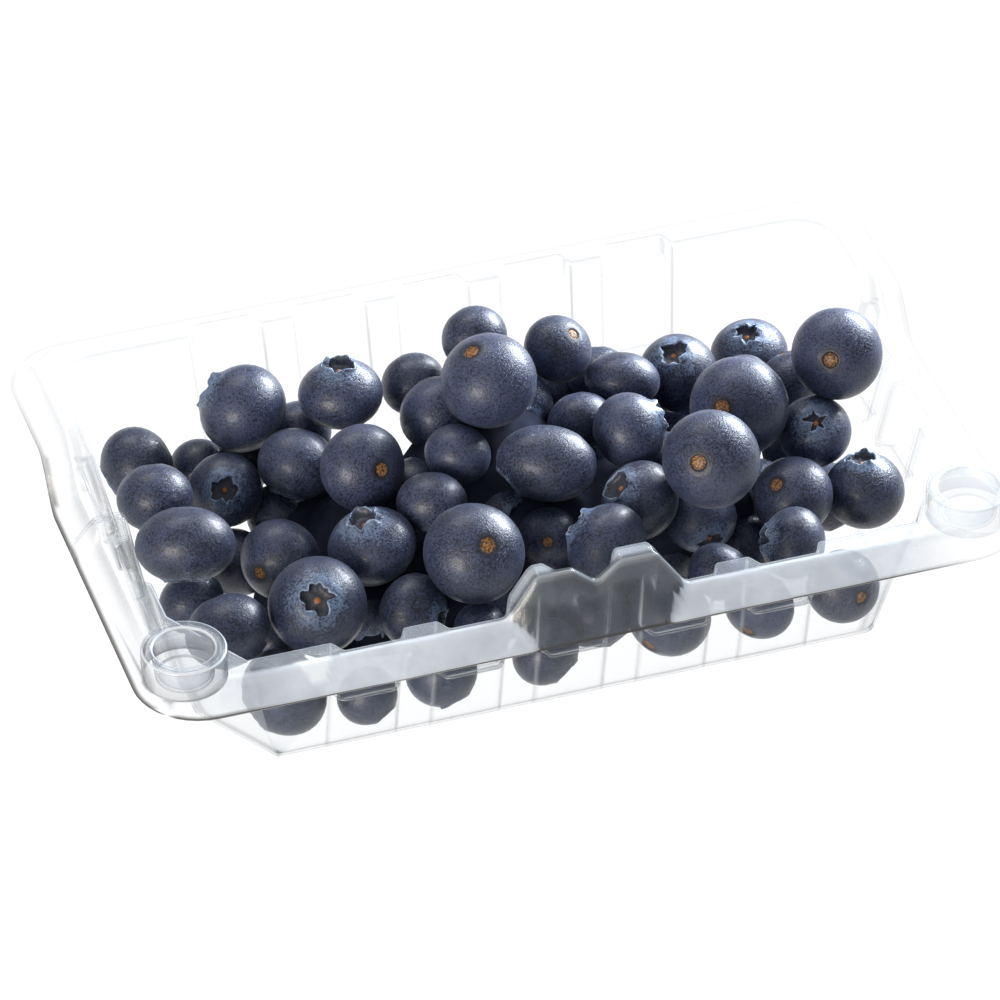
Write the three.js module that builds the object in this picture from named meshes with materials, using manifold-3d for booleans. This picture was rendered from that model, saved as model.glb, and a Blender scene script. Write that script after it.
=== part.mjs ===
// A punnet of blueberries: one thin clear formed tray and the heap of berries in it.
// Millimetres. The origin is the middle of the tray's underside, +X runs along the
// long side, -Y is the front with the notched tab, and +Z is up.
import * as THREE from 'three';
import { mergeVertices } from 'three/addons/utils/BufferGeometryUtils.js';
import Module from 'manifold-3d';

const wasm = await Module();
wasm.setup();

// Driving dimensions of the tray
const SHEET = 0.45; // thickness of the clear sheet
const RIM_HEIGHT = 30;
const REAR_RISE = 9; // how far the rim rises round the rear
const RISE_START = 12; // Y on the side walls where the rim starts to rise
const RISE_END = 22;
const FLOOR = { halfLength: 67.5, front: -37.6, back: 34.3 };
const WALL = { halfLength: 74.2, front: -42.8, back: 39.4 }; // inner wall at the rim height
const CREASE = { halfLength: 79.8, front: -47.2, back: 46.2 }; // outer edge of the flat rim
const CUT = { halfLength: 84.6, front: -52.4, back: 52.4 }; // cut edge of the skirt
const SKIRT_DROP = 4.25;
const WALL_GROWTH_AT_REAR = 2.1; // the raised rear wall leans out by this much more
const FLOOR_EDGE = 1.6; // size of the slope between floor and wall
const EDGE_BEVEL = 0.5;
const LEAST_SPACING = 0.4; // between neighbouring places along a wall
const WELD = 1e-4; // points nearer than this are one

// Bays that stiffen the walls
const BAY_PITCH = 19.86;
const BAY_HALF_WIDTH = 7.1;
const BAY_SIDE_RUN = 2.1;
const BAY_DEPTH = 3.0;
const BAY_SHALLOW = 0.7; // depth below the ledge
const BAY_COUNT = 5;
const BAY_SHIFT = -1.8;
const SIDE_BAYS = [-9.3, 10.6];
const LEDGE_BELOW_RIM = 13.4;
const LEDGE_SLOPE = 1.0;

// The notched tab on the front rim, as heights above the rim at places along X
const TAB_OUTLINE = [[-16.5, 0], [-11, 8.5], [-4, 8.5], [0.5, 4.6], [5, 8.5], [12, 8.5], [17.9, 0]];
// The low head between the two side bays, along Y
const SIDE_HEAD_OUTLINE = [[-2.2, 0], [-1, 3], [2.3, 3], [3.5, 0]];

// Snap studs at the two front corners
const STUD_X = 75;
const STUD_Y = -40.3;
const STUD_HEIGHT = 3.5;
const STUD_RADIUS = 7.8;
const STUD_CUP_RADIUS = 5.6;
const STUD_CUP_FLOOR_RADIUS = 4.9;
const STUD_CUP_DEPTH = 6;
const STUD_FOOT = 2.9; // how far the column goes below the rim
const STUD_SIDES = 20;

// Corner shapes: a straight cut inside at the front, arcs elsewhere
const CORNER_STEPS = 4;
const CUT_CORNER = { x: 64, y: -26, yShare: 0.66 };
const REAR_INNER_RADIUS = 8;
const REAR_FLOOR_RADIUS = 3;
const CREASE_RADIUS = 8;
const CUT_EDGE_RADIUS = 12.5;

// Height of the outline [[place, height], ...] at a place, zero outside it.
function outlineHeight(outline, place) {
  for (let i = 1; i < outline.length; i++) {
    const [a, heightA] = outline[i - 1];
    const [b, heightB] = outline[i];
    if (place >= a && place <= b) {
      return THREE.MathUtils.mapLinear(place, a, b, heightA, heightB);
    }
  }
  return 0;
}

// 1 inside a bay, 0 on the wall between bays, with sloping sides.
function bayShape(distance) {
  const edge = (BAY_HALF_WIDTH - Math.abs(distance)) / BAY_SIDE_RUN;
  return THREE.MathUtils.clamp(edge, 0, 1);
}

function bayCentres() {
  const middle = (BAY_COUNT - 1) / 2;
  return Array.from({ length: BAY_COUNT }, (_, i) => BAY_SHIFT + BAY_PITCH * (i - middle));
}

// The four edges of each bay, as places along its wall.
function bayEdges(centres) {
  const inner = BAY_HALF_WIDTH - BAY_SIDE_RUN;
  return centres.flatMap((c) => [c - BAY_HALF_WIDTH, c - inner, c + inner, c + BAY_HALF_WIDTH]);
}

function sortedPlaces(places) {
  const sorted = [...places].sort((a, b) => a - b);
  return sorted.filter((place, i) => i === 0 || place - sorted[i - 1] > LEAST_SPACING);
}

const LONG_PLACES = sortedPlaces([...bayEdges(bayCentres()), ...TAB_OUTLINE.map(([x]) => x)]);
const BACK_PLACES = sortedPlaces(bayEdges(bayCentres()));
const SIDE_PLACES = sortedPlaces([
  ...bayEdges(SIDE_BAYS),
  ...SIDE_HEAD_OUTLINE.map(([y]) => y),
  RISE_START,
  RISE_END,
]);

function arcPoint(centreX, centreY, radius, angle) {
  return [centreX + radius * Math.cos(angle), centreY + radius * Math.sin(angle)];
}

// One closed loop of the tray at a size, as stations in order round it. bay is the
// depth of the bays there, and lift says how much of the rise and the tab it takes.
function trayLoop({ halfLength, front, back, z, bay = 0, lift = 0, round = 0, radius, spread = 0 }) {
  const stations = [];
  const shrink = WALL.halfLength - halfLength;
  const add = (x, y, extra = 0) => {
    const share = lift * THREE.MathUtils.smoothstep(y, RISE_START, RISE_END);
    const grow = 1 + (share * spread) / halfLength;
    const growY = y > 0 ? 1 + (share * spread) / back : 1;
    stations.push(new THREE.Vector3(x * grow, y * growY, z + share * REAR_RISE + lift * extra));
  };
  const cutX = CUT_CORNER.x - Math.max(shrink, 0);
  const cutY = CUT_CORNER.y + CUT_CORNER.yShare * Math.max(shrink, 0);
  const frontCorner = (side, t) => {
    const straightX = THREE.MathUtils.lerp(halfLength, cutX, t);
    const straightY = THREE.MathUtils.lerp(cutY, front, t);
    const angle = (-t * Math.PI) / 2;
    const [arcX, arcY] = arcPoint(halfLength - radius, front + radius, radius, angle);
    return [
      side * THREE.MathUtils.lerp(straightX, arcX, round),
      THREE.MathUtils.lerp(straightY, arcY, round),
    ];
  };
  for (let k = 0; k <= CORNER_STEPS; k++) {
    add(...frontCorner(-1, k / CORNER_STEPS));
  }
  for (const x of LONG_PLACES) {
    const depth = bay * Math.max(...bayCentres().map((c) => bayShape(x - c)));
    add(x, front - depth, outlineHeight(TAB_OUTLINE, x));
  }
  for (let k = CORNER_STEPS; k >= 0; k--) {
    add(...frontCorner(1, k / CORNER_STEPS));
  }
  const sideStation = (side, y) => {
    const depth = bay * Math.max(...SIDE_BAYS.map((c) => bayShape(y - c)));
    add(side * (halfLength + depth), y, outlineHeight(SIDE_HEAD_OUTLINE, y));
  };
  SIDE_PLACES.forEach((y) => sideStation(1, y));
  for (let k = 0; k <= CORNER_STEPS; k++) {
    const angle = ((k / CORNER_STEPS) * Math.PI) / 2;
    add(...arcPoint(halfLength - radius, back - radius, radius, angle));
  }
  for (const x of [...BACK_PLACES].reverse()) {
    const depth = bay * Math.max(...bayCentres().map((c) => bayShape(x - c)));
    add(x, back + depth);
  }
  for (let k = 0; k <= CORNER_STEPS; k++) {
    const angle = Math.PI / 2 + ((k / CORNER_STEPS) * Math.PI) / 2;
    add(...arcPoint(radius - halfLength, back - radius, radius, angle));
  }
  [...SIDE_PLACES].reverse().forEach((y) => sideStation(-1, y));
  return stations;
}

// Size of the inner wall at a height, by its slope from the floor to the rim.
function wallAt(z) {
  const t = z / RIM_HEIGHT;
  return {
    halfLength: THREE.MathUtils.lerp(FLOOR.halfLength, WALL.halfLength, t),
    front: THREE.MathUtils.lerp(FLOOR.front, WALL.front, t),
    back: THREE.MathUtils.lerp(FLOOR.back, WALL.back, t),
    radius: THREE.MathUtils.lerp(REAR_FLOOR_RADIUS, REAR_INNER_RADIUS, t),
    z,
  };
}

function grown(size, amount) {
  return {
    ...size,
    halfLength: size.halfLength + amount,
    front: size.front - amount,
    back: size.back + amount,
  };
}

// The upper face of the sheet, from the floor's edge out to the cut edge of the skirt.
function upperLoops() {
  const ledge = RIM_HEIGHT - LEDGE_BELOW_RIM;
  const wallTop = RIM_HEIGHT - EDGE_BEVEL;
  const rim = { z: RIM_HEIGHT, lift: 1, spread: WALL_GROWTH_AT_REAR };
  const skirt = { ...rim, spread: 0, round: 1 };
  return [
    trayLoop(grown({ ...wallAt(0), z: SHEET }, -FLOOR_EDGE)),
    trayLoop({ ...wallAt(FLOOR_EDGE), bay: BAY_SHALLOW / 2 }),
    trayLoop({ ...wallAt(ledge - LEDGE_SLOPE), bay: BAY_SHALLOW }),
    trayLoop({ ...wallAt(ledge), bay: BAY_DEPTH - EDGE_BEVEL }),
    trayLoop({ ...wallAt(wallTop), ...rim, z: wallTop, bay: BAY_DEPTH }),
    trayLoop({ ...grown(wallAt(RIM_HEIGHT), EDGE_BEVEL), ...rim, bay: BAY_DEPTH }),
    trayLoop({ ...CREASE, ...skirt, radius: CREASE_RADIUS }),
    trayLoop({ ...CUT, ...skirt, z: RIM_HEIGHT - SKIRT_DROP, radius: CUT_EDGE_RADIUS }),
  ];
}

// The cut edge and the skirt don't follow the tab: it stands on the flat rim.
function flattenTab(loops) {
  const last = loops.length - 1;
  loops[last].forEach((point) => {
    const onTab = outlineHeight(TAB_OUTLINE, point.x) > 0 && point.y < 0;
    const onHead = outlineHeight(SIDE_HEAD_OUTLINE, point.y) > 0;
    if (onTab || onHead) {
      point.z = RIM_HEIGHT - SKIRT_DROP;
    }
  });
}

// Joins loops of stations, with a point at their middle, into one face of the sheet.
function sheetIndices(loopCount, stationCount) {
  const faces = [];
  const at = (loop, station) => 1 + loop * stationCount + (station % stationCount);
  for (let s = 0; s < stationCount; s++) {
    faces.push([0, at(0, s), at(0, s + 1)]);
  }
  for (let l = 0; l + 1 < loopCount; l++) {
    for (let s = 0; s < stationCount; s++) {
      faces.push([at(l, s), at(l + 1, s), at(l + 1, s + 1)]);
      faces.push([at(l, s), at(l + 1, s + 1), at(l, s + 1)]);
    }
  }
  return faces;
}

function geometryFrom(points, faces) {
  const geometry = new THREE.BufferGeometry();
  const places = points.flatMap((p) => p.toArray());
  geometry.setAttribute('position', new THREE.Float32BufferAttribute(places, 3));
  geometry.setIndex(faces.flat());
  return geometry;
}

function vertexNormals(points, faces) {
  const geometry = geometryFrom(points, faces);
  geometry.computeVertexNormals();
  const normals = geometry.getAttribute('normal');
  return points.map((_, i) => new THREE.Vector3().fromBufferAttribute(normals, i));
}

// Gives a sheet its thickness: the lower face is the upper one moved along its normals.
function thicken(points, faces, rim) {
  const normals = vertexNormals(points, faces);
  const lower = points.map((p, i) => p.clone().addScaledVector(normals[i], -SHEET));
  rim.floor.forEach((i) => lower[i].copy(points[i]).setZ(0));
  const n = points.length;
  const flipped = faces.map(([a, b, c]) => [a + n, c + n, b + n]);
  const edge = rim.edge.flatMap((a, i) => {
    const b = rim.edge[(i + 1) % rim.edge.length];
    return [[a, a + n, b + n], [a, b + n, b]];
  });
  return solidFrom([...points, ...lower], [...faces, ...flipped, ...edge]);
}

function solidFromGeometry(source) {
  const bare = source.clone();
  bare.deleteAttribute('normal');
  bare.deleteAttribute('uv');
  const merged = mergeVertices(bare, WELD);
  return new wasm.Manifold(new wasm.Mesh({
    numProp: 3,
    vertProperties: Float32Array.from(merged.getAttribute('position').array),
    triVerts: Uint32Array.from(merged.index.array),
  }));
}

function solidFrom(points, faces) {
  return solidFromGeometry(geometryFrom(points, faces));
}

function geometryOf(solid) {
  const mesh = solid.getMesh();
  const geometry = new THREE.BufferGeometry();
  const places = [];
  for (let i = 0; i < mesh.numVert; i++) {
    for (let k = 0; k < 3; k++) {
      places.push(mesh.vertProperties[i * mesh.numProp + k]);
    }
  }
  geometry.setAttribute('position', new THREE.Float32BufferAttribute(places, 3));
  geometry.setIndex(Array.from(mesh.triVerts));
  geometry.computeVertexNormals();
  return geometry;
}

function traySheet() {
  const loops = upperLoops();
  flattenTab(loops);
  const stationCount = loops[0].length;
  const points = [new THREE.Vector3(0, 0, SHEET), ...loops.flat()];
  const faces = sheetIndices(loops.length, stationCount);
  const floor = [0, ...loops[0].map((_, s) => 1 + s)];
  const first = 1 + (loops.length - 1) * stationCount;
  const edge = loops[0].map((_, s) => first + s);
  return thicken(points, faces, { floor, edge });
}

// A snap stud: an outer column with a cup in its top, all of the same sheet.
function studSolid(side) {
  const top = RIM_HEIGHT + STUD_HEIGHT;
  const cupFloor = top - STUD_CUP_DEPTH;
  const foot = RIM_HEIGHT - STUD_FOOT;
  const profile = [
    [0, cupFloor],
    [STUD_CUP_FLOOR_RADIUS, cupFloor],
    [STUD_CUP_RADIUS, top - EDGE_BEVEL],
    [STUD_CUP_RADIUS + EDGE_BEVEL, top],
    [STUD_RADIUS - EDGE_BEVEL, top],
    [STUD_RADIUS, top - EDGE_BEVEL],
    [STUD_RADIUS, foot],
    [STUD_RADIUS - SHEET, foot],
    [STUD_RADIUS - SHEET, top - EDGE_BEVEL - SHEET / 2],
    [STUD_CUP_RADIUS + SHEET, top - EDGE_BEVEL - SHEET / 2],
    [STUD_CUP_FLOOR_RADIUS + SHEET, cupFloor - SHEET],
    [0, cupFloor - SHEET],
  ];
  const outline = profile.map(([r, z]) => new THREE.Vector2(r, z)).reverse();
  const geometry = new THREE.LatheGeometry(outline, STUD_SIDES);
  geometry.rotateX(Math.PI / 2);
  geometry.translate(side * STUD_X, STUD_Y, 0);
  return solidFromGeometry(geometry);
}

function studHole(side) {
  const radius = STUD_RADIUS - SHEET / 2;
  const geometry = new THREE.CylinderGeometry(radius, radius, RIM_HEIGHT, STUD_SIDES);
  geometry.rotateX(Math.PI / 2);
  geometry.translate(side * STUD_X, STUD_Y, RIM_HEIGHT);
  return solidFromGeometry(geometry);
}

function traySolid() {
  let tray = traySheet();
  for (const side of [-1, 1]) {
    tray = tray.subtract(studHole(side)).add(studSolid(side));
  }
  return tray;
}

// The sight line of the picture that the places of the seen berries are read from
const VIEW = {
  azimuth: THREE.MathUtils.degToRad(18.28),
  elevation: THREE.MathUtils.degToRad(38.0),
  distance: 1376,
  focal: 7416, // in picture points
  middle: 500,
  aim: new THREE.Vector3(-3.4, -3.5, 22),
};

// Berries that show, as rows of [across, down] in the picture, diameter and height
// of the centre above the table, both in millimetres
const SEEN_LEFT = [
  [131, 466, 14.6, 22], [153, 498, 14.2, 27], [176, 547, 17.0, 28], [188, 603, 12.6, 13],
  [229, 632, 15.8, 21], [227, 492, 14.0, 20], [243, 409, 17.0, 30], [297, 465, 14.6, 25],
  [362, 468, 16.2, 30], [341, 394, 16.0, 32], [281, 560, 15.2, 20], [317, 606, 18.2, 23],
  [376, 549, 16.4, 24], [414, 606, 13.6, 19], [236, 560, 14.0, 10], [285, 514, 13.0, 12],
  [335, 509, 12.0, 9], [200, 466, 12.0, 16], [297, 434, 13.4, 20], [366, 606, 13.0, 11],
];
const SEEN_MIDDLE = [
  [413, 384, 12.4, 28], [437, 415, 14.6, 30], [475, 338, 12.6, 38], [487, 383, 18.2, 41],
  [557, 350, 13.4, 36], [584, 418, 12.6, 28], [520, 403, 12.6, 29], [546, 463, 15.6, 33],
  [457, 456, 12.4, 32], [431, 502, 13.0, 28], [471, 557, 18.6, 28], [549, 539, 12.0, 21],
  [607, 544, 16.0, 27], [629, 430, 14.2, 33], [645, 503, 15.2, 25], [505, 514, 15.0, 19],
  [479, 632, 11.0, 16], [598, 374, 12.0, 25],
];
const SEEN_RIGHT = [
  [619, 383, 13.6, 31], [677, 373, 15.2, 26], [751, 355, 15.0, 21], [747, 384, 11.6, 26],
  [740, 407, 19.0, 33], [837, 355, 17.2, 38], [789, 379, 12.6, 21], [711, 459, 18.2, 39],
  [815, 431, 13.8, 26], [862, 491, 15.0, 20], [795, 499, 15.2, 22], [793, 541, 13.6, 21],
  [696, 520, 13.4, 19], [716, 574, 11.6, 18], [744, 542, 12.0, 13],
];

// Berries of the bottom layer seen through the front wall, as places along X and diameters
const FRONT_ROW = [
  [-53.5, 17], [-38.5, 11.4], [-24, 13.4], [-3.8, 13.4], [20.5, 16.4], [38, 13.4], [54.5, 14],
];

const TOUCH = 0.975; // berries in contact press together by this share of their radii
const CLEARANCE = 0.5; // between a berry and the sheet
const SWEEPS = 240;
const STRAY = 0.2; // share of a push that may move a seen berry across its sight line
const FALL = 0.12; // millimetres that an unseen berry sinks in a sweep
const SEED = 11;

function makeRandom(seed) {
  const modulus = 2147483647;
  const multiplier = 16807;
  let state = seed;
  return () => {
    state = (state * multiplier) % modulus;
    return state / modulus;
  };
}

function viewAxes() {
  const { azimuth: a, elevation: e } = VIEW;
  return {
    right: new THREE.Vector3(Math.cos(a), -Math.sin(a), 0),
    forward: new THREE.Vector3(Math.sin(a) * Math.cos(e), Math.cos(a) * Math.cos(e), -Math.sin(e)),
    up: new THREE.Vector3(Math.sin(a) * Math.sin(e), Math.cos(a) * Math.sin(e), Math.cos(e)),
  };
}

// Where the sight line through a picture point is at a height.
function onSightLine(across, down, height) {
  const { right, forward, up } = viewAxes();
  const eye = VIEW.aim.clone().addScaledVector(forward, -VIEW.distance);
  const along = forward.clone()
    .addScaledVector(right, (across - VIEW.middle) / VIEW.focal)
    .addScaledVector(up, (VIEW.middle - down) / VIEW.focal);
  const reach = (height - eye.z) / along.z;
  return { place: eye.addScaledVector(along, reach), line: along.normalize() };
}

function seenBerries() {
  const rows = [...SEEN_LEFT, ...SEEN_MIDDLE, ...SEEN_RIGHT];
  return rows.map(([across, down, diameter, height]) => {
    const { place, line } = onSightLine(across, down, height);
    return { place, line, home: place.clone(), radius: diameter / 2, seen: true };
  });
}

function frontRow() {
  return FRONT_ROW.map(([x, diameter]) => {
    const radius = diameter / 2;
    const z = radius + SHEET + CLEARANCE;
    const place = new THREE.Vector3(x, wallAt(z).front + radius + CLEARANCE, z);
    return { place, home: place.clone(), radius, seen: false, fixed: true };
  });
}

// Unseen berries fill the tray from the floor up, wherever one fits and stays out of sight.
const FILL_STEP = 3;
const FILL_TOP = 36;
const FILL_TRIES = 420; // places tried at each step
const FILL_OVERLAP = 1.5; // a place is left out where it would press deeper than this
const FILL_DIAMETERS = [12.8, 16.4];
const LOW_LAYER = 15; // below this height a berry may show in the gaps
const COVER_POINTS = 8;
const COVER_REACH = 0.8; // share of the radius where they lie
const COVER_HIGH = 0.9; // share of an unseen berry's disc that seen ones must hide
const COVER_LOW = 0.4;
// Sight lines that pass between the berries down to the clear floor, in the picture
const GAPS = [[337, 537], [394, 430], [322, 500], [232, 532]];
const GAP_RADIUS = 2;

function fillBerries(laid) {
  const random = makeRandom(SEED);
  const berries = [...laid];
  for (let height = 0; height < FILL_TOP; height += FILL_STEP) {
    for (let i = 0; i < FILL_TRIES; i++) {
      const radius = THREE.MathUtils.lerp(...FILL_DIAMETERS, random()) / 2;
      const place = new THREE.Vector3(
        (2 * random() - 1) * WALL.halfLength,
        THREE.MathUtils.lerp(WALL.front, WALL.back, random()),
        radius + SHEET + CLEARANCE + height,
      );
      const berry = { place, radius, seen: false };
      if (isFree(berry, berries) && staysUnseen(berry, berries)) {
        berries.push(berry);
      }
    }
  }
  return berries;
}

function isFree(berry, berries) {
  const inside = { ...berry, place: berry.place.clone() };
  keepInside(inside);
  if (inside.place.distanceTo(berry.place) > FILL_OVERLAP) {
    return false;
  }
  return berries.every((other) => {
    const reach = berry.radius + other.radius - FILL_OVERLAP;
    return berry.place.distanceTo(other.place) > reach;
  });
}

// Across and down in the picture plane, in millimetres, and the distance from the eye.
function inView(place) {
  const { right, forward, up } = viewAxes();
  const offset = place.clone().sub(VIEW.aim);
  return { across: offset.dot(right), down: -offset.dot(up), depth: offset.dot(forward) };
}

function staysUnseen(berry, berries) {
  const own = inView(berry.place);
  const inGap = GAPS.some(([across, down]) => {
    const { place } = onSightLine(across, down, berry.place.z);
    const gap = inView(place);
    return Math.hypot(gap.across - own.across, gap.down - own.down) < berry.radius + GAP_RADIUS;
  });
  if (inGap) {
    return false;
  }
  const covers = berries
    .filter((other) => other.seen)
    .map((other) => ({ ...inView(other.place), radius: other.radius }))
    .filter((other) => other.depth < own.depth);
  let hidden = 0;
  for (let k = 0; k < COVER_POINTS; k++) {
    const angle = (2 * Math.PI * k) / COVER_POINTS;
    const across = own.across + COVER_REACH * berry.radius * Math.cos(angle);
    const down = own.down + COVER_REACH * berry.radius * Math.sin(angle);
    const isHidden = covers.some((c) => Math.hypot(c.across - across, c.down - down) < c.radius);
    hidden += isHidden ? 1 : 0;
  }
  const wanted = berry.place.z < LOW_LAYER ? COVER_LOW : COVER_HIGH;
  return hidden / COVER_POINTS >= wanted;
}

// Planes that hold the berries in, each through a point of the wall's foot and its top.
function keepInside(berry) {
  const { place, radius } = berry;
  const room = radius + CLEARANCE;
  const wall = wallAt(Math.max(place.z, 0));
  const lean = Math.hypot(RIM_HEIGHT, WALL.halfLength - FLOOR.halfLength) / RIM_HEIGHT;
  const slack = room * lean;
  place.z = Math.max(place.z, room + SHEET);
  place.x = THREE.MathUtils.clamp(place.x, slack - wall.halfLength, wall.halfLength - slack);
  place.y = THREE.MathUtils.clamp(place.y, wall.front + slack, wall.back - slack);
  keepFromFrontCorner(place, wall, slack);
  keepFromRearCorner(place, wall, slack);
}

function keepFromFrontCorner(place, wall, slack) {
  const shrink = WALL.halfLength - wall.halfLength;
  const endX = CUT_CORNER.x - shrink;
  const endY = CUT_CORNER.y + CUT_CORNER.yShare * shrink;
  const along = new THREE.Vector2(wall.halfLength - endX, endY - wall.front).normalize();
  const side = Math.sign(place.x) || 1;
  const fromEnd = new THREE.Vector2(side * place.x - endX, place.y - wall.front);
  const depth = slack - (along.x * fromEnd.y - along.y * fromEnd.x);
  if (depth > 0) {
    place.x -= side * depth * along.y;
    place.y += depth * along.x;
  }
}

function keepFromRearCorner(place, wall, slack) {
  const side = Math.sign(place.x) || 1;
  const centreX = wall.halfLength - wall.radius;
  const centreY = wall.back - wall.radius;
  const offset = new THREE.Vector2(side * place.x - centreX, place.y - centreY);
  const most = Math.max(wall.radius - slack, 0);
  if (offset.x > 0 && offset.y > 0 && offset.length() > most) {
    offset.setLength(most);
    place.x = side * (centreX + offset.x);
    place.y = centreY + offset.y;
  }
}

// A seen berry mostly keeps to its sight line: it's moved along it, and little across.
function pushBerry(berry, push) {
  if (berry.fixed) {
    return;
  }
  if (berry.seen) {
    const along = push.dot(berry.line);
    const across = push.clone().addScaledVector(berry.line, -along);
    berry.place.addScaledVector(berry.line, along).addScaledVector(across, STRAY);
  } else {
    berry.place.add(push);
  }
}

function separate(a, b) {
  const offset = b.place.clone().sub(a.place);
  const wanted = (a.radius + b.radius) * TOUCH;
  const distance = offset.length();
  if (distance < wanted) {
    offset.setLength((wanted - distance) / 2);
    pushBerry(b, offset);
    pushBerry(a, offset.clone().negate());
  }
}

function settle(berries) {
  for (let sweep = 0; sweep < SWEEPS; sweep++) {
    for (const berry of berries) {
      if (!berry.seen && !berry.fixed) {
        berry.place.z -= FALL;
      }
    }
    for (let i = 0; i < berries.length; i++) {
      for (let j = i + 1; j < berries.length; j++) {
        separate(berries[i], berries[j]);
      }
    }
    berries.forEach(keepInside);
  }
  return berries;
}

const berries = settle(fillBerries([...seenBerries(), ...frontRow()]));

// The core under the berries: a block whose top follows the heap a little below its skin.
const CORE = {
  halfLength: 60, front: -27, back: 25, floor: 3, below: 11.5, least: 6, columns: 12, rows: 5,
};
const SKIN_FALLOFF = 20;

function skinHeight(x, y) {
  return Math.max(...berries.map(({ place, radius }) => {
    const flat = (place.x - x) ** 2 + (place.y - y) ** 2;
    return place.z + radius - flat / SKIN_FALLOFF;
  }));
}

function coreTop() {
  const { columns, rows } = CORE;
  const top = [];
  for (let j = 0; j <= rows; j++) {
    for (let i = 0; i <= columns; i++) {
      const x = THREE.MathUtils.lerp(-CORE.halfLength, CORE.halfLength, i / columns);
      const y = THREE.MathUtils.lerp(CORE.front, CORE.back, j / rows);
      top.push(new THREE.Vector3(x, y, Math.max(CORE.least, skinHeight(x, y) - CORE.below)));
    }
  }
  return top;
}

// The places of the core's border in its grid, in order round it.
function coreBorder() {
  const { columns, rows } = CORE;
  const width = columns + 1;
  const along = Array.from({ length: columns }, (_, i) => i);
  const up = Array.from({ length: rows }, (_, j) => j);
  return [
    ...along,
    ...up.map((j) => j * width + columns),
    ...along.map((i) => rows * width + columns - i),
    ...up.map((j) => (rows - j) * width),
  ];
}

function coreSolid() {
  const { columns, rows } = CORE;
  const top = coreTop();
  const bottom = top.map((point) => point.clone().setZ(CORE.floor));
  const count = top.length;
  const width = columns + 1;
  const faces = [];
  for (let j = 0; j < rows; j++) {
    for (let i = 0; i < columns; i++) {
      const a = j * width + i;
      const [b, c, d] = [a + 1, a + width + 1, a + width];
      faces.push([a, b, c], [a, c, d]);
      faces.push([a + count, c + count, b + count], [a + count, d + count, c + count]);
    }
  }
  const border = coreBorder();
  border.forEach((a, i) => {
    const b = border[(i + 1) % border.length];
    faces.push([a, a + count, b + count], [a, b + count, b]);
  });
  return solidFrom([...top, ...bottom], faces);
}

// A berry with few sides, flattened a little along its own axis.
const BERRY_FLATNESS = 0.9;

function berrySolid(berry, random) {
  const geometry = new THREE.IcosahedronGeometry(berry.radius, 1);
  geometry.scale(1, 1, BERRY_FLATNESS);
  geometry.rotateX(Math.PI * random());
  geometry.rotateZ(2 * Math.PI * random());
  geometry.translate(...berry.place.toArray());
  return solidFromGeometry(geometry);
}

function heapSolid() {
  const random = makeRandom(SEED);
  let heap = coreSolid();
  for (const berry of berries) {
    heap = heap.add(berrySolid(berry, random));
  }
  const pieces = heap.decompose();
  pieces.sort((a, b) => b.volume() - a.volume());
  return pieces[0];
}

const CLEAR = new THREE.MeshStandardMaterial({
  color: 0xe6edf2, roughness: 0.08, metalness: 0, transparent: true, opacity: 0.35,
});
const BERRY = new THREE.MeshStandardMaterial({ color: 0x262b3d, roughness: 0.5, metalness: 0 });

function namedMesh(name, solid, material) {
  const mesh = new THREE.Mesh(geometryOf(solid), material);
  mesh.name = name;
  return mesh;
}

const punnet = new THREE.Group();
punnet.add(namedMesh('tray', traySolid(), CLEAR));
punnet.add(namedMesh('berries', heapSolid(), BERRY));

export default punnet;
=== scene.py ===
# %% [markdown]
# # A punnet of blueberries
# The real thing is a small tray, vacuum formed from one clear plastic sheet, with a heap
# of about ninety loose blueberries in it. A simple plain model of both is already packed,
# and its places and sizes are the frame here. Each cell below makes one part of the looks
# in the same frame: metres, +Z up, the notched tab of the tray at the front on -Y.

import math

import bpy
import numpy as np
from mathutils import Matrix, Vector


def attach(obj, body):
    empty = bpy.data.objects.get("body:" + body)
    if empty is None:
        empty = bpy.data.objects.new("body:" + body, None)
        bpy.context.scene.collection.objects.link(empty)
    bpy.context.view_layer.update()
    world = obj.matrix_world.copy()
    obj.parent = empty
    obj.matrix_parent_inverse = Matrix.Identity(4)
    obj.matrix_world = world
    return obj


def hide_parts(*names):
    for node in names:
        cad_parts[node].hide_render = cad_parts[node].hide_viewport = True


MM = 0.001
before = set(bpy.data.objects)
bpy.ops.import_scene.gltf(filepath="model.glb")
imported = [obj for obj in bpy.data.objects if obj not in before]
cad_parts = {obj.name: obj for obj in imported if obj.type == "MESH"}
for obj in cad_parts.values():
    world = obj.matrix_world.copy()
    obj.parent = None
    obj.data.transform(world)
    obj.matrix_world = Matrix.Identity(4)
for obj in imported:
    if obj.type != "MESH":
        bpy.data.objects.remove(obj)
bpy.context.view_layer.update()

# %% [markdown]
# ## The camera
# The picture was taken from a little left of the front and about 38 degrees above the
# table. Parallel edges hardly run together in it, which says that a long lens was used
# from more than a metre away. The camera's three axes are kept as vectors, because the
# places of the berries are worked out along its sight lines further down.

# %% Camera
AZIMUTH = math.radians(18.28)
ELEVATION = math.radians(38.0)
DISTANCE = 1376.0
FOCAL = 7416.0  # in picture points
PICTURE = 1000
SENSOR = 36.0
AIM = Vector((-3.4, -3.5, 22.0))

RIGHT = Vector((math.cos(AZIMUTH), -math.sin(AZIMUTH), 0.0))
FORWARD = Vector((
    math.sin(AZIMUTH) * math.cos(ELEVATION),
    math.cos(AZIMUTH) * math.cos(ELEVATION),
    -math.sin(ELEVATION),
))
UP = RIGHT.cross(FORWARD)
EYE = AIM - FORWARD * DISTANCE


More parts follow.
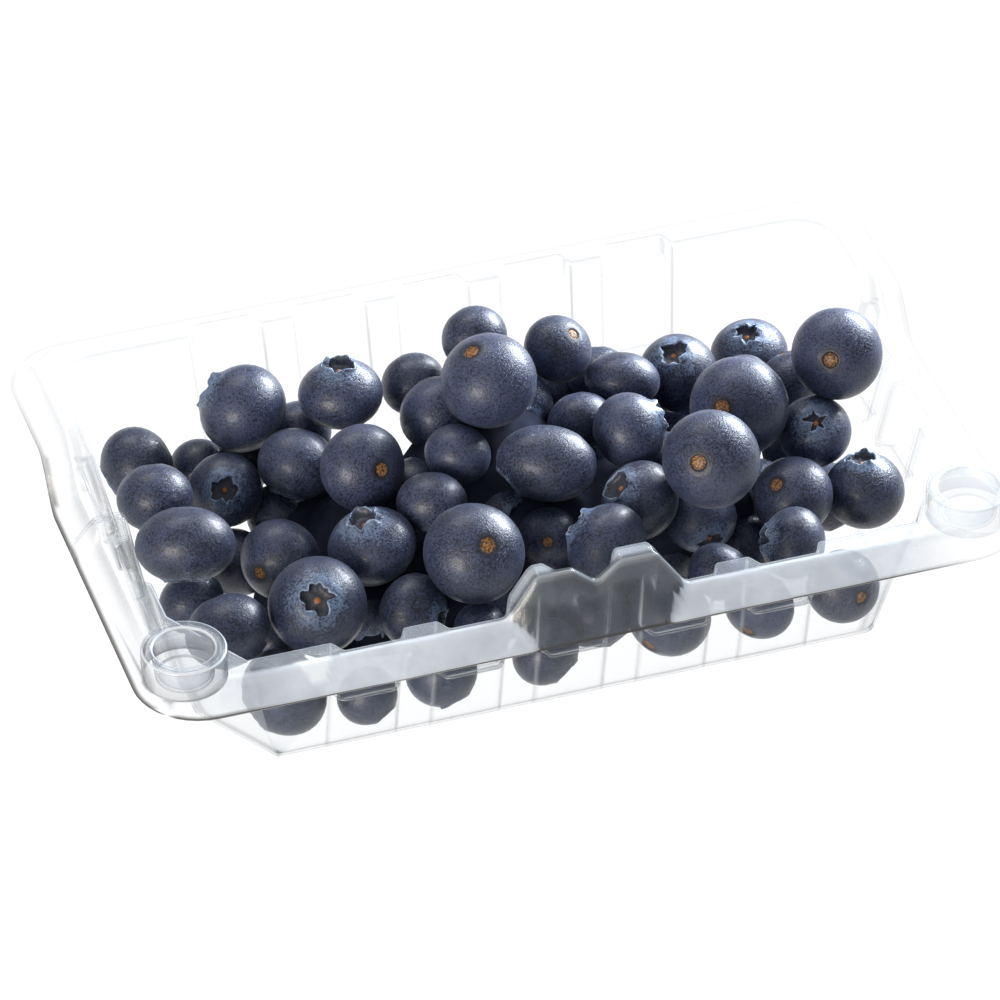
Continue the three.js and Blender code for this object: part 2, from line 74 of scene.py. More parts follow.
def make_camera():
    data = bpy.data.cameras.new("camera")
    data.sensor_width = SENSOR
    data.lens = FOCAL * SENSOR / PICTURE
    data.clip_start = 0.05
    data.clip_end = 20.0
    camera = bpy.data.objects.new("camera", data)
    axes = Matrix((RIGHT, UP, -FORWARD)).transposed()
    camera.matrix_world = Matrix.Translation(EYE * MM) @ axes.to_4x4()
    bpy.context.scene.collection.objects.link(camera)
    bpy.context.scene.camera = camera
    return camera


camera = make_camera()
print("lens in mm:", round(camera.data.lens, 1), "up axis:", [round(v, 3) for v in UP])

# %% [markdown]
# ## From points to a mesh
# All the pieces here are worked out as lists of points and faces, in millimetres, since
# a mesh made by a rule can be as fine as the picture needs. One function turns them into
# a Blender object in metres. Faces are shaded smooth, and an edge that turns by more than
# a given angle stays sharp.

# %% Mesh helper
def make_piece(name, points, faces, sharp_angle=40.0):
    mesh = bpy.data.meshes.new(name)
    mesh.from_pydata((np.asarray(points) * MM).tolist(), [], faces)
    mesh.validate()
    shade_smooth(mesh, sharp_angle)
    piece = bpy.data.objects.new(name, mesh)
    bpy.context.scene.collection.objects.link(piece)
    return piece


def shade_smooth(mesh, sharp_angle):
    mesh.polygons.foreach_set("use_smooth", [True] * len(mesh.polygons))
    mesh.set_sharp_from_angle(angle=math.radians(sharp_angle))
    mesh.update()


def smooth_share(value, start, end):
    t = min(max((value - start) / (end - start), 0.0), 1.0)
    return t * t * (3.0 - 2.0 * t)


def mix(a, b, t):
    return a + (b - a) * t


# %% [markdown]
# ## The tray as a set of loops
# The sheet is drawn as closed loops of points that run round the tray, from the floor up
# the wall, over the rim and down the skirt to its cut edge. Every loop has the same
# stations, so neighbours join with four-sided faces. A loop is a small dictionary of
# sizes, and a curve through three such dictionaries rounds each bend of the sheet.

# %% Sizes of the tray
SHEET = 0.45
RIM_HEIGHT = 30.0
REAR_RISE = 9.0
RISE_START = 12.0
RISE_END = 22.0
REAR_LEAN = 2.1  # the raised rear wall leans out by this much more
SKIRT_DROP = 4.25
FLOOR = {"half": 67.5, "front": -37.6, "back": 34.3, "radius": 3.0}
WALL = {"half": 74.2, "front": -42.8, "back": 39.4, "radius": 8.0}
CREASE = {"half": 79.8, "front": -47.2, "back": 46.2, "radius": 8.0}
CUT = {"half": 84.6, "front": -52.4, "back": 52.4, "radius": 12.5}
CUT_CORNER = (64.0, -26.0, 0.66)

BAY_PITCH = 19.86
BAY_HALF = 7.1
BAY_SIDE_RUN = 2.1
BAY_FOOT_RUN = 1.1
BAY_DEPTH = 3.0
BAY_SHALLOW = 0.7
BAY_CORNER = 2.6
LEDGE = 15.5
LIFT_START = LEDGE + 1.1  # the wall is the same all round the tray up to this height
LONG_BAYS = [-1.8 + BAY_PITCH * (i - 2) for i in range(5)]
SIDE_BAYS = [-9.3, 10.6]

TAB = [(-16.5, 0.0), (-11.0, 8.5), (-4.0, 8.5), (0.5, 4.6), (5.0, 8.5), (12.0, 8.5), (17.9, 0.0)]
TAB_NARROWING = 0.3  # the panel under the tab narrows by this share down the skirt
SIDE_HEAD = [(-2.2, 0.0), (-1.0, 3.0), (2.3, 3.0), (3.5, 0.0)]
OUTLINE_ROUNDING = 0.7


# %% Heights, bays and the wall's size
def outline_height(outline, place):
    places, heights = zip(*outline)
    spots = [place + OUTLINE_ROUNDING * step / 3 for step in range(-3, 4)]
    return float(np.mean(np.interp(spots, places, heights, left=0.0, right=0.0)))


def inside_bay(distance, height):
    """How far a place on the wall is inside a bay's outline, and how near its foot."""
    inward = abs(distance) - (BAY_HALF - BAY_CORNER)
    downward = (LEDGE + BAY_CORNER) - height
    outside = math.hypot(max(inward, 0.0), max(downward, 0.0)) - BAY_CORNER
    return -(outside + min(max(inward, downward), 0.0)), downward - inward


def bay_depth(distance, height):
    """How far the wall stands out at a distance from a bay's middle, at a height."""
    inside, footward = inside_bay(distance, height)
    run = mix(BAY_SIDE_RUN, BAY_FOOT_RUN, smooth_share(footward, -1.5, 1.5))
    deep = BAY_DEPTH * smooth_share(inside, 0.0, run)
    side = smooth_share(BAY_HALF - abs(distance), 0.0, BAY_SIDE_RUN)
    shallow = BAY_SHALLOW * side * smooth_share(height, 0.5, 4.0)
    return max(deep, shallow)


def wall_at(height):
    share = height / RIM_HEIGHT
    size = {key: mix(FLOOR[key], WALL[key], share) for key in FLOOR}
    return {**size, "z": height}


# %% Stations round a loop
def fine_places(bays, outline, ends):
    """Places along one wall, close together where the sheet bends."""
    steps = [0.0, 2.2, 3.8, 4.4, 5.0, 5.4, 5.8, 6.2, 6.6, 6.9, 7.15, 7.6, 8.6]
    places = [centre + side * step for centre in bays for step in steps for side in (-1, 1)]
    offsets = [-2.2, -1.1, -0.7, -0.35, 0.0, 0.35, 0.7, 1.1, 2.2]
    places += [place + offset for place, _ in outline for offset in offsets]
    places += list(ends)
    kept = []
    for place in sorted(places):
        if not kept or place - kept[-1] > 0.24:
            kept.append(place)
    return kept


CORNER_STEPS = 10
CORNER_SHARES = [k / CORNER_STEPS for k in range(CORNER_STEPS + 1)]
RISE_PLACES = [RISE_START + (RISE_END - RISE_START) * k / 8 for k in range(9)]
GLARE_PLACES = [-57.0, -56.0, -55.0, -54.0, -53.2, -52.4, -51.6, -50.8, -50.0]
LONG_PLACES = fine_places(LONG_BAYS, TAB, GLARE_PLACES)
BACK_PLACES = fine_places(LONG_BAYS, [], [])
SIDE_PLACES = [y for y in fine_places(SIDE_BAYS, SIDE_HEAD, RISE_PLACES) if y < 25.0]

STATIONS = (
    [("front corner", -1, t) for t in CORNER_SHARES]
    + [("front", 0, x) for x in LONG_PLACES]
    + [("front corner", 1, t) for t in reversed(CORNER_SHARES)]
    + [("side", 1, y) for y in SIDE_PLACES]
    + [("rear corner", 1, t) for t in CORNER_SHARES]
    + [("rear", 0, x) for x in reversed(BACK_PLACES)]
    + [("rear corner", -1, t) for t in reversed(CORNER_SHARES)]
    + [("side", -1, y) for y in reversed(SIDE_PLACES)]
)
print("stations round the tray:", len(STATIONS))


# %% One point of the sheet
def bay_at(distance_from, bays, loop):
    height = min(loop["z"], RIM_HEIGHT)
    return loop.get("bay", 1.0) * max(bay_depth(distance_from - c, height) for c in bays)


def flat_place(station, loop):
    """Where a station is in plan, and how much the tab or a head raises it."""
    kind, side, value = station
    half, front, back, radius = loop["half"], loop["front"], loop["back"], loop["radius"]
    if kind == "front":
        narrowed = value * (1.0 + TAB_NARROWING * loop.get("down", 0.0))
        depth = bay_at(value, LONG_BAYS, loop)
        return value, front - depth, outline_height(TAB, narrowed)
    if kind == "rear":
        return value, back + bay_at(value, LONG_BAYS, loop), 0.0
    if kind == "side":
        depth = bay_at(value, SIDE_BAYS, loop)
        return side * (half + depth), value, outline_height(SIDE_HEAD, value)
    if kind == "rear corner":
        angle = value * math.pi / 2
        x = half - radius + radius * math.cos(angle)
        return side * x, back - radius + radius * math.sin(angle), 0.0
    shrink = max(WALL["half"] - half, 0.0)
    end_x = CUT_CORNER[0] - shrink
    end_y = CUT_CORNER[1] + CUT_CORNER[2] * shrink
    straight = (mix(half, end_x, value), mix(end_y, front, value))
    angle = value * math.pi / 2
    curved = (half - radius + radius * math.cos(angle), front + radius - radius * math.sin(angle))
    turn = loop.get("round", 0.0)
    return side * mix(straight[0], curved[0], turn), mix(straight[1], curved[1], turn), 0.0


def sheet_point(station, loop):
    x, y, extra = flat_place(station, loop)
    lift = loop.get("lift", 0.0)
    share = lift * smooth_share(y, RISE_START, RISE_END)
    grow = share * loop.get("lean", 0.0)
    x *= 1.0 + grow / loop["half"]
    if y > 0:
        y *= 1.0 + grow / loop["back"]
    standing = lift * (1.0 - loop.get("down", 0.0))
    return x, y, loop["z"] + share * REAR_RISE + standing * extra


# %% [markdown]
# ## Bends with a radius
# A formed sheet never folds to a knife edge: each bend has a radius of half a millimetre
# or more, and that is what catches the light as a thin bright line. Three loops, before,
# at and after a bend, make a quadratic curve, and a few loops are taken along it.

# %% All loops from the floor to the cut edge
def blend_loops(a, b, t):
    keys = set(a) | set(b)
    return {key: mix(a.get(key, 0.0), b.get(key, 0.0), t) for key in keys}


def bend(before, corner, after, steps):
    made = []
    for k in range(steps + 1):
        t = k / steps
        first = blend_loops(before, corner, t)
        made.append(blend_loops(first, blend_loops(corner, after, t), t))
    return made


def shrunk(size, amount):
    return {
        **size,
        "half": size["half"] - amount,
        "front": size["front"] + amount,
        "back": size["back"] - amount,
    }


def wall_loop(height):
    lift = min(max((height - LIFT_START) / (RIM_HEIGHT - LIFT_START), 0.0), 1.0)
    return {**wall_at(height), "lift": lift, "lean": REAR_LEAN, "bay": 1.0}


def sheet_loops():
    bare = {"lift": 0.0, "lean": REAR_LEAN, "bay": 1.0, "round": 0.0, "down": 0.0}
    floor = {**bare, **wall_at(0.0), "z": SHEET}
    rim_edge = {**bare, **wall_at(RIM_HEIGHT), "lift": 1.0}
    crease = {**bare, **CREASE, "z": RIM_HEIGHT, "lift": 1.0, "lean": 0.0, "bay": 0.0, "round": 1.0}
    cut = {**crease, **CUT, "z": RIM_HEIGHT - SKIRT_DROP, "down": 1.0}
    loops = [shrunk(floor, 30.0), shrunk(floor, 12.0)]
    loops += bend(shrunk(floor, 3.0), floor, {**bare, **wall_loop(3.4)}, 5)
    above_ledge = [-0.7, -0.2, 0.05, 0.25, 0.45, 0.65, 0.85, 1.05, 1.3, 1.7, 2.1, 2.6, 3.3, 4.6, 6.1]
    heights = [6.0, 9.0, 12.0, 13.8] + [LEDGE + step for step in above_ledge]
    heights += [23.5, 25.0, 26.5, 28.0]
    loops += [{**bare, **wall_loop(height)} for height in heights]
    loops += bend({**bare, **wall_loop(29.1)}, rim_edge, blend_loops(rim_edge, crease, 0.2), 6)
    loops += [blend_loops(rim_edge, crease, t) for t in (0.35, 0.55, 0.72)]
    loops += bend(blend_loops(rim_edge, crease, 0.85), crease, blend_loops(crease, cut, 0.13), 5)
    loops += [blend_loops(crease, cut, t) for t in (0.3, 0.5, 0.7, 0.85, 0.95, 0.975, 1.0)]
    return loops


# %% The sheet with its thickness
def sheet_mesh(loops):
    count = len(STATIONS)
    upper = [(0.0, 0.0, SHEET)]
    for loop in loops:
        upper += [sheet_point(station, loop) for station in STATIONS]
    upper = np.array(upper)
    faces = [(0, 1 + s, 1 + (s + 1) % count) for s in range(count)]
    for row in range(len(loops) - 1):
        a, b = 1 + row * count, 1 + (row + 1) * count
        for s in range(count):
            after = (s + 1) % count
            faces.append((a + s, b + s, b + after, a + after))
    lower = upper - vertex_normals(upper, faces) * SHEET
    lower[upper[:, 2] < SHEET + 1e-6, 2] = 0.0
    lower[:, 2] = np.maximum(lower[:, 2], 0.0)
    shift = len(upper)
    faces += [tuple(v + shift for v in reversed(face)) for face in list(faces)]
    first = 1 + (len(loops) - 1) * count
    for s in range(count):
        a, b = first + s, first + (s + 1) % count
        faces.append((a, a + shift, b + shift, b))
    return np.vstack([upper, lower]), faces


def vertex_normals(points, faces):
    normals = np.zeros_like(points)
    for face in faces:
        corners = points[list(face)]
        across = corners[2] - corners[0]
        if len(face) == 4:
            normal = np.cross(across, corners[3] - corners[1])
        else:
            normal = np.cross(corners[1] - corners[0], across)
        for v in face:
            normals[v] += normal
    lengths = np.linalg.norm(normals, axis=1, keepdims=True)
    return normals / np.maximum(lengths, 1e-9)


tray = make_piece("clear_tray", *sheet_mesh(sheet_loops()), sharp_angle=50.0)
print("tray sheet faces:", len(tray.data.polygons))

# %% [markdown]
# ## Snap studs
# A lid would click onto two round studs in the front corners. Each is a column with a cup
# pressed into its top, formed in the same sheet. A profile turned round an axis gives the
# stud, a hole is cut in the rim for it, and both are joined by boolean modifiers that are
# applied, so that the tray stays one closed mesh.

# %% Studs
STUD_X = 75.0
STUD_Y = -40.3
STUD_HEIGHT = 3.5
STUD_RADIUS = 7.8
CUP_RADIUS = 5.6
CUP_FLOOR_RADIUS = 4.9
CUP_DEPTH = 6.0
STUD_FOOT = 2.9
STUD_SIDES = 64


def rounded(points, radius, steps=4):
    """A closed profile with each corner rounded by a short curve."""
    made = []
    for i, corner in enumerate(points):
        corner = Vector(corner)
        before = Vector(points[i - 1]) - corner
        after = Vector(points[(i + 1) % len(points)]) - corner
        reach = min(radius, before.length * 0.45, after.length * 0.45)
        start = corner + before.normalized() * reach
        end = corner + after.normalized() * reach
        for k in range(steps + 1):
            t = k / steps
            made.append(start.lerp(corner, t).lerp(corner.lerp(end, t), t))
    return made


def stud_profile():
    top = RIM_HEIGHT + STUD_HEIGHT
    cup_floor = top - CUP_DEPTH
    foot = RIM_HEIGHT - STUD_FOOT
    return [
        (0.0, cup_floor - SHEET), (CUP_FLOOR_RADIUS + SHEET, cup_floor - SHEET),
        (CUP_RADIUS + SHEET, top - SHEET), (STUD_RADIUS - SHEET, top - SHEET),
        (STUD_RADIUS - SHEET, foot), (STUD_RADIUS, foot),
        (STUD_RADIUS, top), (CUP_RADIUS, top), (CUP_FLOOR_RADIUS, cup_floor), (0.0, cup_floor),
    ]


def turned(name, profile, side):
    """A profile turned round the stud's axis. Its first and last points are on the axis."""
    points = [(side * STUD_X, STUD_Y, profile[0][1]), (side * STUD_X, STUD_Y, profile[-1][1])]
    body = [point for point in profile if point[0] > 0.05]
    for k in range(STUD_SIDES):
        angle = 2 * math.pi * k / STUD_SIDES
        across, along = math.cos(angle), math.sin(angle)
        points += [(side * STUD_X + r * across, STUD_Y + r * along, z) for r, z in body]
    faces = []
    rows = len(body)
    for k in range(STUD_SIDES):
        a, b = 2 + k * rows, 2 + ((k + 1) % STUD_SIDES) * rows
        faces += [(a + r, b + r, b + r + 1, a + r + 1) for r in range(rows - 1)]
        faces += [(0, b, a), (1, a + rows - 1, b + rows - 1)]
    return make_piece(name, points, faces)


def combine(target, other, operation):
    modifier = target.modifiers.new(operation, "BOOLEAN")
    modifier.operation = operation
    modifier.object = other
    modifier.solver = "EXACT"
    bpy.context.view_layer.objects.active = target
    with bpy.context.temp_override(object=target, active_object=target):
        bpy.ops.object.modifier_apply(modifier=modifier.name)
    bpy.data.objects.remove(other)


def stud_points():
    inner = stud_profile()
    return [tuple(inner[0])] + [tuple(p) for p in rounded(inner, 0.5)[5:-5]] + [tuple(inner[-1])]


for side in (-1, 1):
    hole = STUD_RADIUS - SHEET / 2
    bottom, top = RIM_HEIGHT - 14.0, RIM_HEIGHT + 14.0
    cutter = turned("stud_hole", [(0.0, bottom), (hole, bottom), (hole, top), (0.0, top)], side)
    combine(tray, cutter, "DIFFERENCE")
    combine(tray, turned("stud", stud_points(), side), "UNION")
shade_smooth(tray.data, 50.0)
print("tray with studs:", len(tray.data.polygons), "faces")

# %% [markdown]
# ## Where the sheet looks different
# The wall is clear, but the front of the skirt looks like a pale band: a painted reflection of the
# light it mirrors. The panel under the tab is darker. Each bend of the sheet shows as a thin line,
# pale before dark fruit and grey before the white table: the pale lines are painted highlights and
# the dark ones painted shade. These shares are worked out for each point from its place and stored
# with the mesh as colour attributes.

# %% Band of painted reflection, cut edge and panel
# Shares of the painted reflection that makes the pale band: on the sides, on the rim and on the studs
SIDE_REFLECTION = 0.03
RIM_REFLECTION = 0.30
STUD_REFLECTION = 0.16
BAND_HALF = 69.0
CREASE_DEPTH = 46.8  # from the middle to the creases in front and behind
CUT_TOP = 25.95  # the cut edge shows as a line up to this height


def past_crease(x, y):
    return max(abs(x) - CREASE["half"], abs(y) - CREASE_DEPTH)


def before_lift(x, y, z):
    """Where a point of the sheet would be if the rear of the tray were not raised."""
    raised = smooth_share(y, RISE_START, RISE_END)
    if past_crease(x, y) > -4.0:
        return x, z - REAR_RISE * raised
    if z < LIFT_START:
        return x, z
    growth = REAR_RISE * raised / (RIM_HEIGHT - LIFT_START)
    level = (z + LIFT_START * growth) / (1.0 + growth)
    lean = REAR_LEAN * raised * (level - LIFT_START) / (RIM_HEIGHT - LIFT_START)
    return x / (1.0 + lean / WALL["half"]), level


# The pale band on the skirt and the rim is a painted reflection.
def band_reflection_share(x, y, level):
    beyond = past_crease(x, y)
    skirt = smooth_share(beyond, -0.4, 0.4)
    rim = smooth_share(level, 29.5, 29.9)
    front = smooth_share(-y, 30.0, 40.0) * smooth_share(BAND_HALF - abs(x), 0.0, 3.0)
    return mix(SIDE_REFLECTION, 1.0, front) * max(skirt, rim * RIM_REFLECTION)


def panel_share(x, y, z):
    if y > WALL["front"]:
        return 0.0
    place = x * (1.0 + TAB_NARROWING * max(RIM_HEIGHT - z, 0.0) / SKIRT_DROP)
    left, right = TAB[0][0], TAB[-1][0]
    within = min(place - left, right - place)
    return smooth_share(within, -0.2, 1.8) * smooth_share(-y, 45.0, 46.5)


def tray_masks(x, y, z):
    _, level = before_lift(x, y, z)
    panel = panel_share(x, y, z)
    if near_stud(x, y):
        return STUD_REFLECTION, 0.0, panel
    band_reflection = band_reflection_share(x, y, level) * (1.0 - 0.85 * panel)
    cut = 1.0 - smooth_share(level, CUT_TOP - 0.08, CUT_TOP) if past_crease(x, y) > 2.0 else 0.0
    return band_reflection, cut, panel


def fade_masks(x, y, _):
    """Where the sheet stands before the white table alone and all but vanishes."""
    return max(smooth_share(y, 10.0, 30.0), smooth_share(x, 62.0, 70.0)), 0.0, 0.0


# %% Thin lines along the bends: painted highlights and painted shade
GLARE_X = -52.8
# Bends of the stud's profile: radius, height, and how strong the painted highlight and the painted
# shade of the line are
STUD_LINES = [
    (7.68, 33.38, 1.0, 0.0), (5.73, 33.37, 1.0, 0.0), (7.22, 32.92, 0.0, 1.0),
    (6.15, 32.92, 0.0, 0.8), (4.80, 27.60, 0.8, 0.0), (5.30, 27.15, 0.0, 0.9),
    (7.80, 27.10, 0.0, 1.0), (7.35, 27.10, 0.0, 1.0),
]


def near_stud(x, y):
    return math.hypot(abs(x) - STUD_X, y - STUD_Y) < STUD_RADIUS + 0.5


def line_at(distance, half_width):
    return 1.0 - smooth_share(abs(distance), 0.35 * half_width, half_width)


def bay_lines(x, y, z):
    """Shares of painted highlight and painted shade in the lines round the bays of the wall."""
    along, bays = (y, SIDE_BAYS) if abs(x) > 68.0 and abs(y) < 25.0 else (x, LONG_BAYS)
    offset = min((along - centre for centre in bays), key=abs)
    inside, footward = inside_bay(offset, z)
    foot = smooth_share(footward, 0.0, 1.0)
    painted_highlight = line_at(inside - mix(0.15, BAY_FOOT_RUN - 0.1, foot), 0.28)
    dark = line_at(inside - mix(1.0, 0.4, foot), 0.3) * 0.5
    if z < LEDGE:
        painted_highlight = max(painted_highlight, 0.3 * line_at(abs(offset) - BAY_HALF + 0.5, 0.45))
    return painted_highlight, dark


def stud_lines(x, y, z):
    radius = math.hypot(abs(x) - STUD_X, y - STUD_Y)
    painted_highlight, dark = 0.0, 0.0
    for r, height, highlight_strength, shade_strength in STUD_LINES:
        share = line_at(math.hypot(radius - r, z - height), 0.3)
        painted_highlight = max(painted_highlight, highlight_strength * share)
        dark = max(dark, shade_strength * share)
    return painted_highlight, dark


def glare_share(x, y):
    """A white glare on the skirt, a triangle with its point down."""
    down = smooth_share(-y, 46.4, 46.9) * (1.0 - smooth_share(-y, 50.2, 51.2))
    reach = 3.3 - 0.62 * (-y - 47.0)
    return down * smooth_share(reach - abs(x - GLARE_X), -0.3, 0.5)


# Each point's painted highlight, painted shade and stud flag.
def line_masks(x, y, z):
    if near_stud(x, y):
        return (*stud_lines(x, y, z), 1.0)
    x, level = before_lift(x, y, z)
    beyond = past_crease(x, y)
    if y < -46.3 and abs(x - GLARE_X) < 5.0:
        return glare_share(x, y), 0.0, 0.0
    if beyond > -0.8:
        return 0.45 * line_at(beyond - 0.2, 0.5), 0.3 * line_at(beyond - 0.9, 0.4), 0.0
    if level > 29.2:
        return 0.9 * line_at(level - 29.74, 0.2), 0.4 * line_at(level - 29.4, 0.15), 0.0
    if z < 1.2:
        return 0.0, 0.5 * line_at(z - 0.95, 0.25), 0.0
    return (*bay_lines(x, y, level), 0.0)


def paint(piece, name, shares):
    """Three shares for each point, stored as a colour."""
    shares = np.asarray(shares, dtype=np.float32)
    colours = np.column_stack([shares, np.ones(len(shares), dtype=np.float32)])
    layer = piece.data.color_attributes.new(name, "FLOAT_COLOR", "POINT")
    layer.data.foreach_set("color", colours.ravel())


places = [tuple(value / MM for value in vertex.co) for vertex in tray.data.vertices]
rules = {"sheet_masks": tray_masks, "sheet_lines": line_masks, "sheet_fade": fade_masks}
for name, rule in rules.items():
    paint(tray, name, [rule(*place) for place in places])
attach(tray, "root")
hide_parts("tray")
print("tray points:", len(places))

# %% [markdown]
# ## Shader maths in Python
# A material is a graph of nodes. Wrapping a socket in a small class lets the graph be
# written as sums and products: each operator adds one Math node. Colours go through Mix
# nodes instead, because a Math node would turn them grey.

# %% Node helpers
class Wire:
    """An output socket that Python's operators work on."""

    def __init__(self, finish, socket):
        self.finish = finish
        self.socket = socket

    def maths(self, operation, first, second):
        return self.finish.node("ShaderNodeMath", {"operation": operation}, {0: first, 1: second})

    def __add__(self, other):
        return self.maths("ADD", self, other)

    def __sub__(self, other):
        return self.maths("SUBTRACT", self, other)

    def __rsub__(self, other):
        return self.maths("SUBTRACT", other, self)

    def __mul__(self, other):
        return self.maths("MULTIPLY", self, other)

    def __pow__(self, other):
        return self.maths("POWER", self, other)

    def clamp(self):
        return self.finish.node("ShaderNodeClamp", {}, {"Value": self})

    __radd__ = __add__
    __rmul__ = __mul__


OBJECT_PLACE = 3  # the output of Texture Coordinate that gives a place on the object


class Finish:
    """One material and the nodes in it."""

    def __init__(self, name):
        self.material = bpy.data.materials.new(name)
        self.material.use_nodes = True
        self.tree = self.material.node_tree
        self.tree.nodes.clear()

    def node(self, kind, settings=None, values=None, output=0):
        made = self.tree.nodes.new(kind)
        for key, value in (settings or {}).items():
            setattr(made, key, value)
        for key, value in (values or {}).items():
            if isinstance(value, Wire):
                self.tree.links.new(value.socket, made.inputs[key])
            else:
                made.inputs[key].default_value = value
        return Wire(self, made.outputs[output])

    def colours(self, share, first, second):
        """The mix of two colours, either of which may be a wire."""
        values = {0: share, 6: first, 7: second}
        return self.node("ShaderNodeMix", {"data_type": "RGBA"}, values, 2)

    def noise(self, scale, detail=3.0, roughness=0.55):
        place = self.node("ShaderNodeTexCoord", {}, {}, OBJECT_PLACE)
        values = {"Vector": place, "Scale": scale, "Detail": detail, "Roughness": roughness}
        return self.node("ShaderNodeTexNoise", {}, values)

    def masks(self, name):
        colour = self.node("ShaderNodeAttribute", {"attribute_name": name}, {}, 0)
        parts = self.node("ShaderNodeSeparateColor", {}, {0: colour})
        outputs = parts.socket.node.outputs
        return [Wire(self, outputs[k]) for k in range(3)]

    def between(self, value, start, end):
        """0 below start and 1 above end, smooth between them."""
        settings = {"interpolation_type": "SMOOTHSTEP"}
        return self.node("ShaderNodeMapRange", settings, {0: value, 1: start, 2: end})

    def bump(self, height, strength, distance):
        values = {"Height": height, "Strength": strength, "Distance": distance}
        return self.node("ShaderNodeBump", {}, values)

    def show(self, shader):
        shown = self.tree.nodes.new("ShaderNodeOutputMaterial")
        self.tree.links.new(shader.socket, shown.inputs["Surface"])
        return self.material


def colour(red, green, blue):
    return (red, green, blue, 1.0)


# %% [markdown]
# ## Clear sheet
# Thin clear plastic hardly bends what is behind it, so a Transparent shader does for the
# body of it, and a mirror share that grows at a glancing angle gives the gloss. Over
# both lies a body colour: a pale painted reflection for the band in front, painted highlights
# for the pale thin lines, and grey painted shade where the sheet is seen edge on, as bends are
# in the picture, and along the dark lines. Layer Weight gives the angle, and a fine noise gives
# the orange peel that forming leaves.

# %% Finish of the clear sheet
FACE_ON_SHARE = 0.005  # what one face of the sheet mirrors when it is seen face on


def clear_sheet():
    finish = Finish("clear_sheet")
    band_reflection, cut, panel = finish.masks("sheet_masks")
    painted_highlight, dark, stud = finish.masks("sheet_lines")
    peel = finish.noise(330.0, 2.0)
    fade, _, _ = finish.masks("sheet_fade")
    streaks = finish.noise(45.0, 2.0)
    bumped = finish.bump(peel, 0.2 + band_reflection * 0.3, 0.0003)
    gloss = finish.node("ShaderNodeBsdfPrincipled", {}, {
        "Base Color": colour(0.96, 0.98, 1.0), "Metallic": 1.0, "Roughness": 0.07, "Normal": bumped,
    })
    clear = finish.node("ShaderNodeBsdfTransparent", {}, {"Color": colour(0.99, 0.993, 0.996)})
    facing = finish.node("ShaderNodeLayerWeight", {}, {"Blend": 0.5, "Normal": bumped}, 1)
    mirrored = (FACE_ON_SHARE + facing ** 5.0 * (1.0 - FACE_ON_SHARE)) * (1.0 - fade * 0.9)
    sheet = finish.node("ShaderNodeMixShader", {}, {0: mirrored.clamp(), 1: clear, 2: gloss})
    # Grey painted shade where the sheet is seen edge on and along the dark lines; the cut edge and the
    # panel under the tab are grey as well.
    edge = facing ** 3.0 * (0.25 + stud * 0.5) + cut * 0.8 + dark * 0.6
    edge_share = (edge * (1.0 - fade * 0.85) + panel * 0.26).clamp()
    # The pale band is a painted reflection, streaked by noise.
    painted_reflection_share = (band_reflection * finish.between(streaks, 0.35, 0.65) * 0.2 + band_reflection * 0.55).clamp()
    # Painted highlights along the bends.
    painted_highlight_share = painted_highlight * 0.8 * (1.0 - fade * 0.7)
    grey = finish.colours(cut, colour(0.13, 0.145, 0.17), colour(0.10, 0.09, 0.08))
    painted_reflection_tint = finish.colours(peel, colour(0.64, 0.71, 0.82), colour(0.84, 0.90, 0.98))
    tint = finish.colours(finish.between(painted_reflection_share - edge_share, -0.15, 0.15), grey, painted_reflection_tint)
    body = finish.node("ShaderNodeBsdfPrincipled", {}, {
        "Base Color": finish.colours(painted_highlight_share, tint, colour(0.88, 0.94, 1.0)),
        "Roughness": 0.2, "Normal": bumped,
    })
    solid = 1.0 - (1.0 - edge_share) * (1.0 - painted_reflection_share) * (1.0 - painted_highlight_share)
    return finish.show(finish.node("ShaderNodeMixShader", {}, {0: solid.clamp(), 1: sheet, 2: body}))


tray.data.materials.append(clear_sheet())
print("clear sheet nodes:", len(tray.data.materials[0].node_tree.nodes))

# %% [markdown]
# ## Where the berries lie
# Each berry that shows in the picture was read as a spot, a diameter and the height of
# its centre. The sight line through the spot meets that height at the berry's place. A
# row of berries lies against the front wall, and unseen ones fill the tray. All are then
# pushed apart until they hardly overlap: a seen berry mostly slides along its sight line,
# so it stays where the picture has it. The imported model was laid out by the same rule. A
# few deep ones come last, where one would otherwise see down to the table.

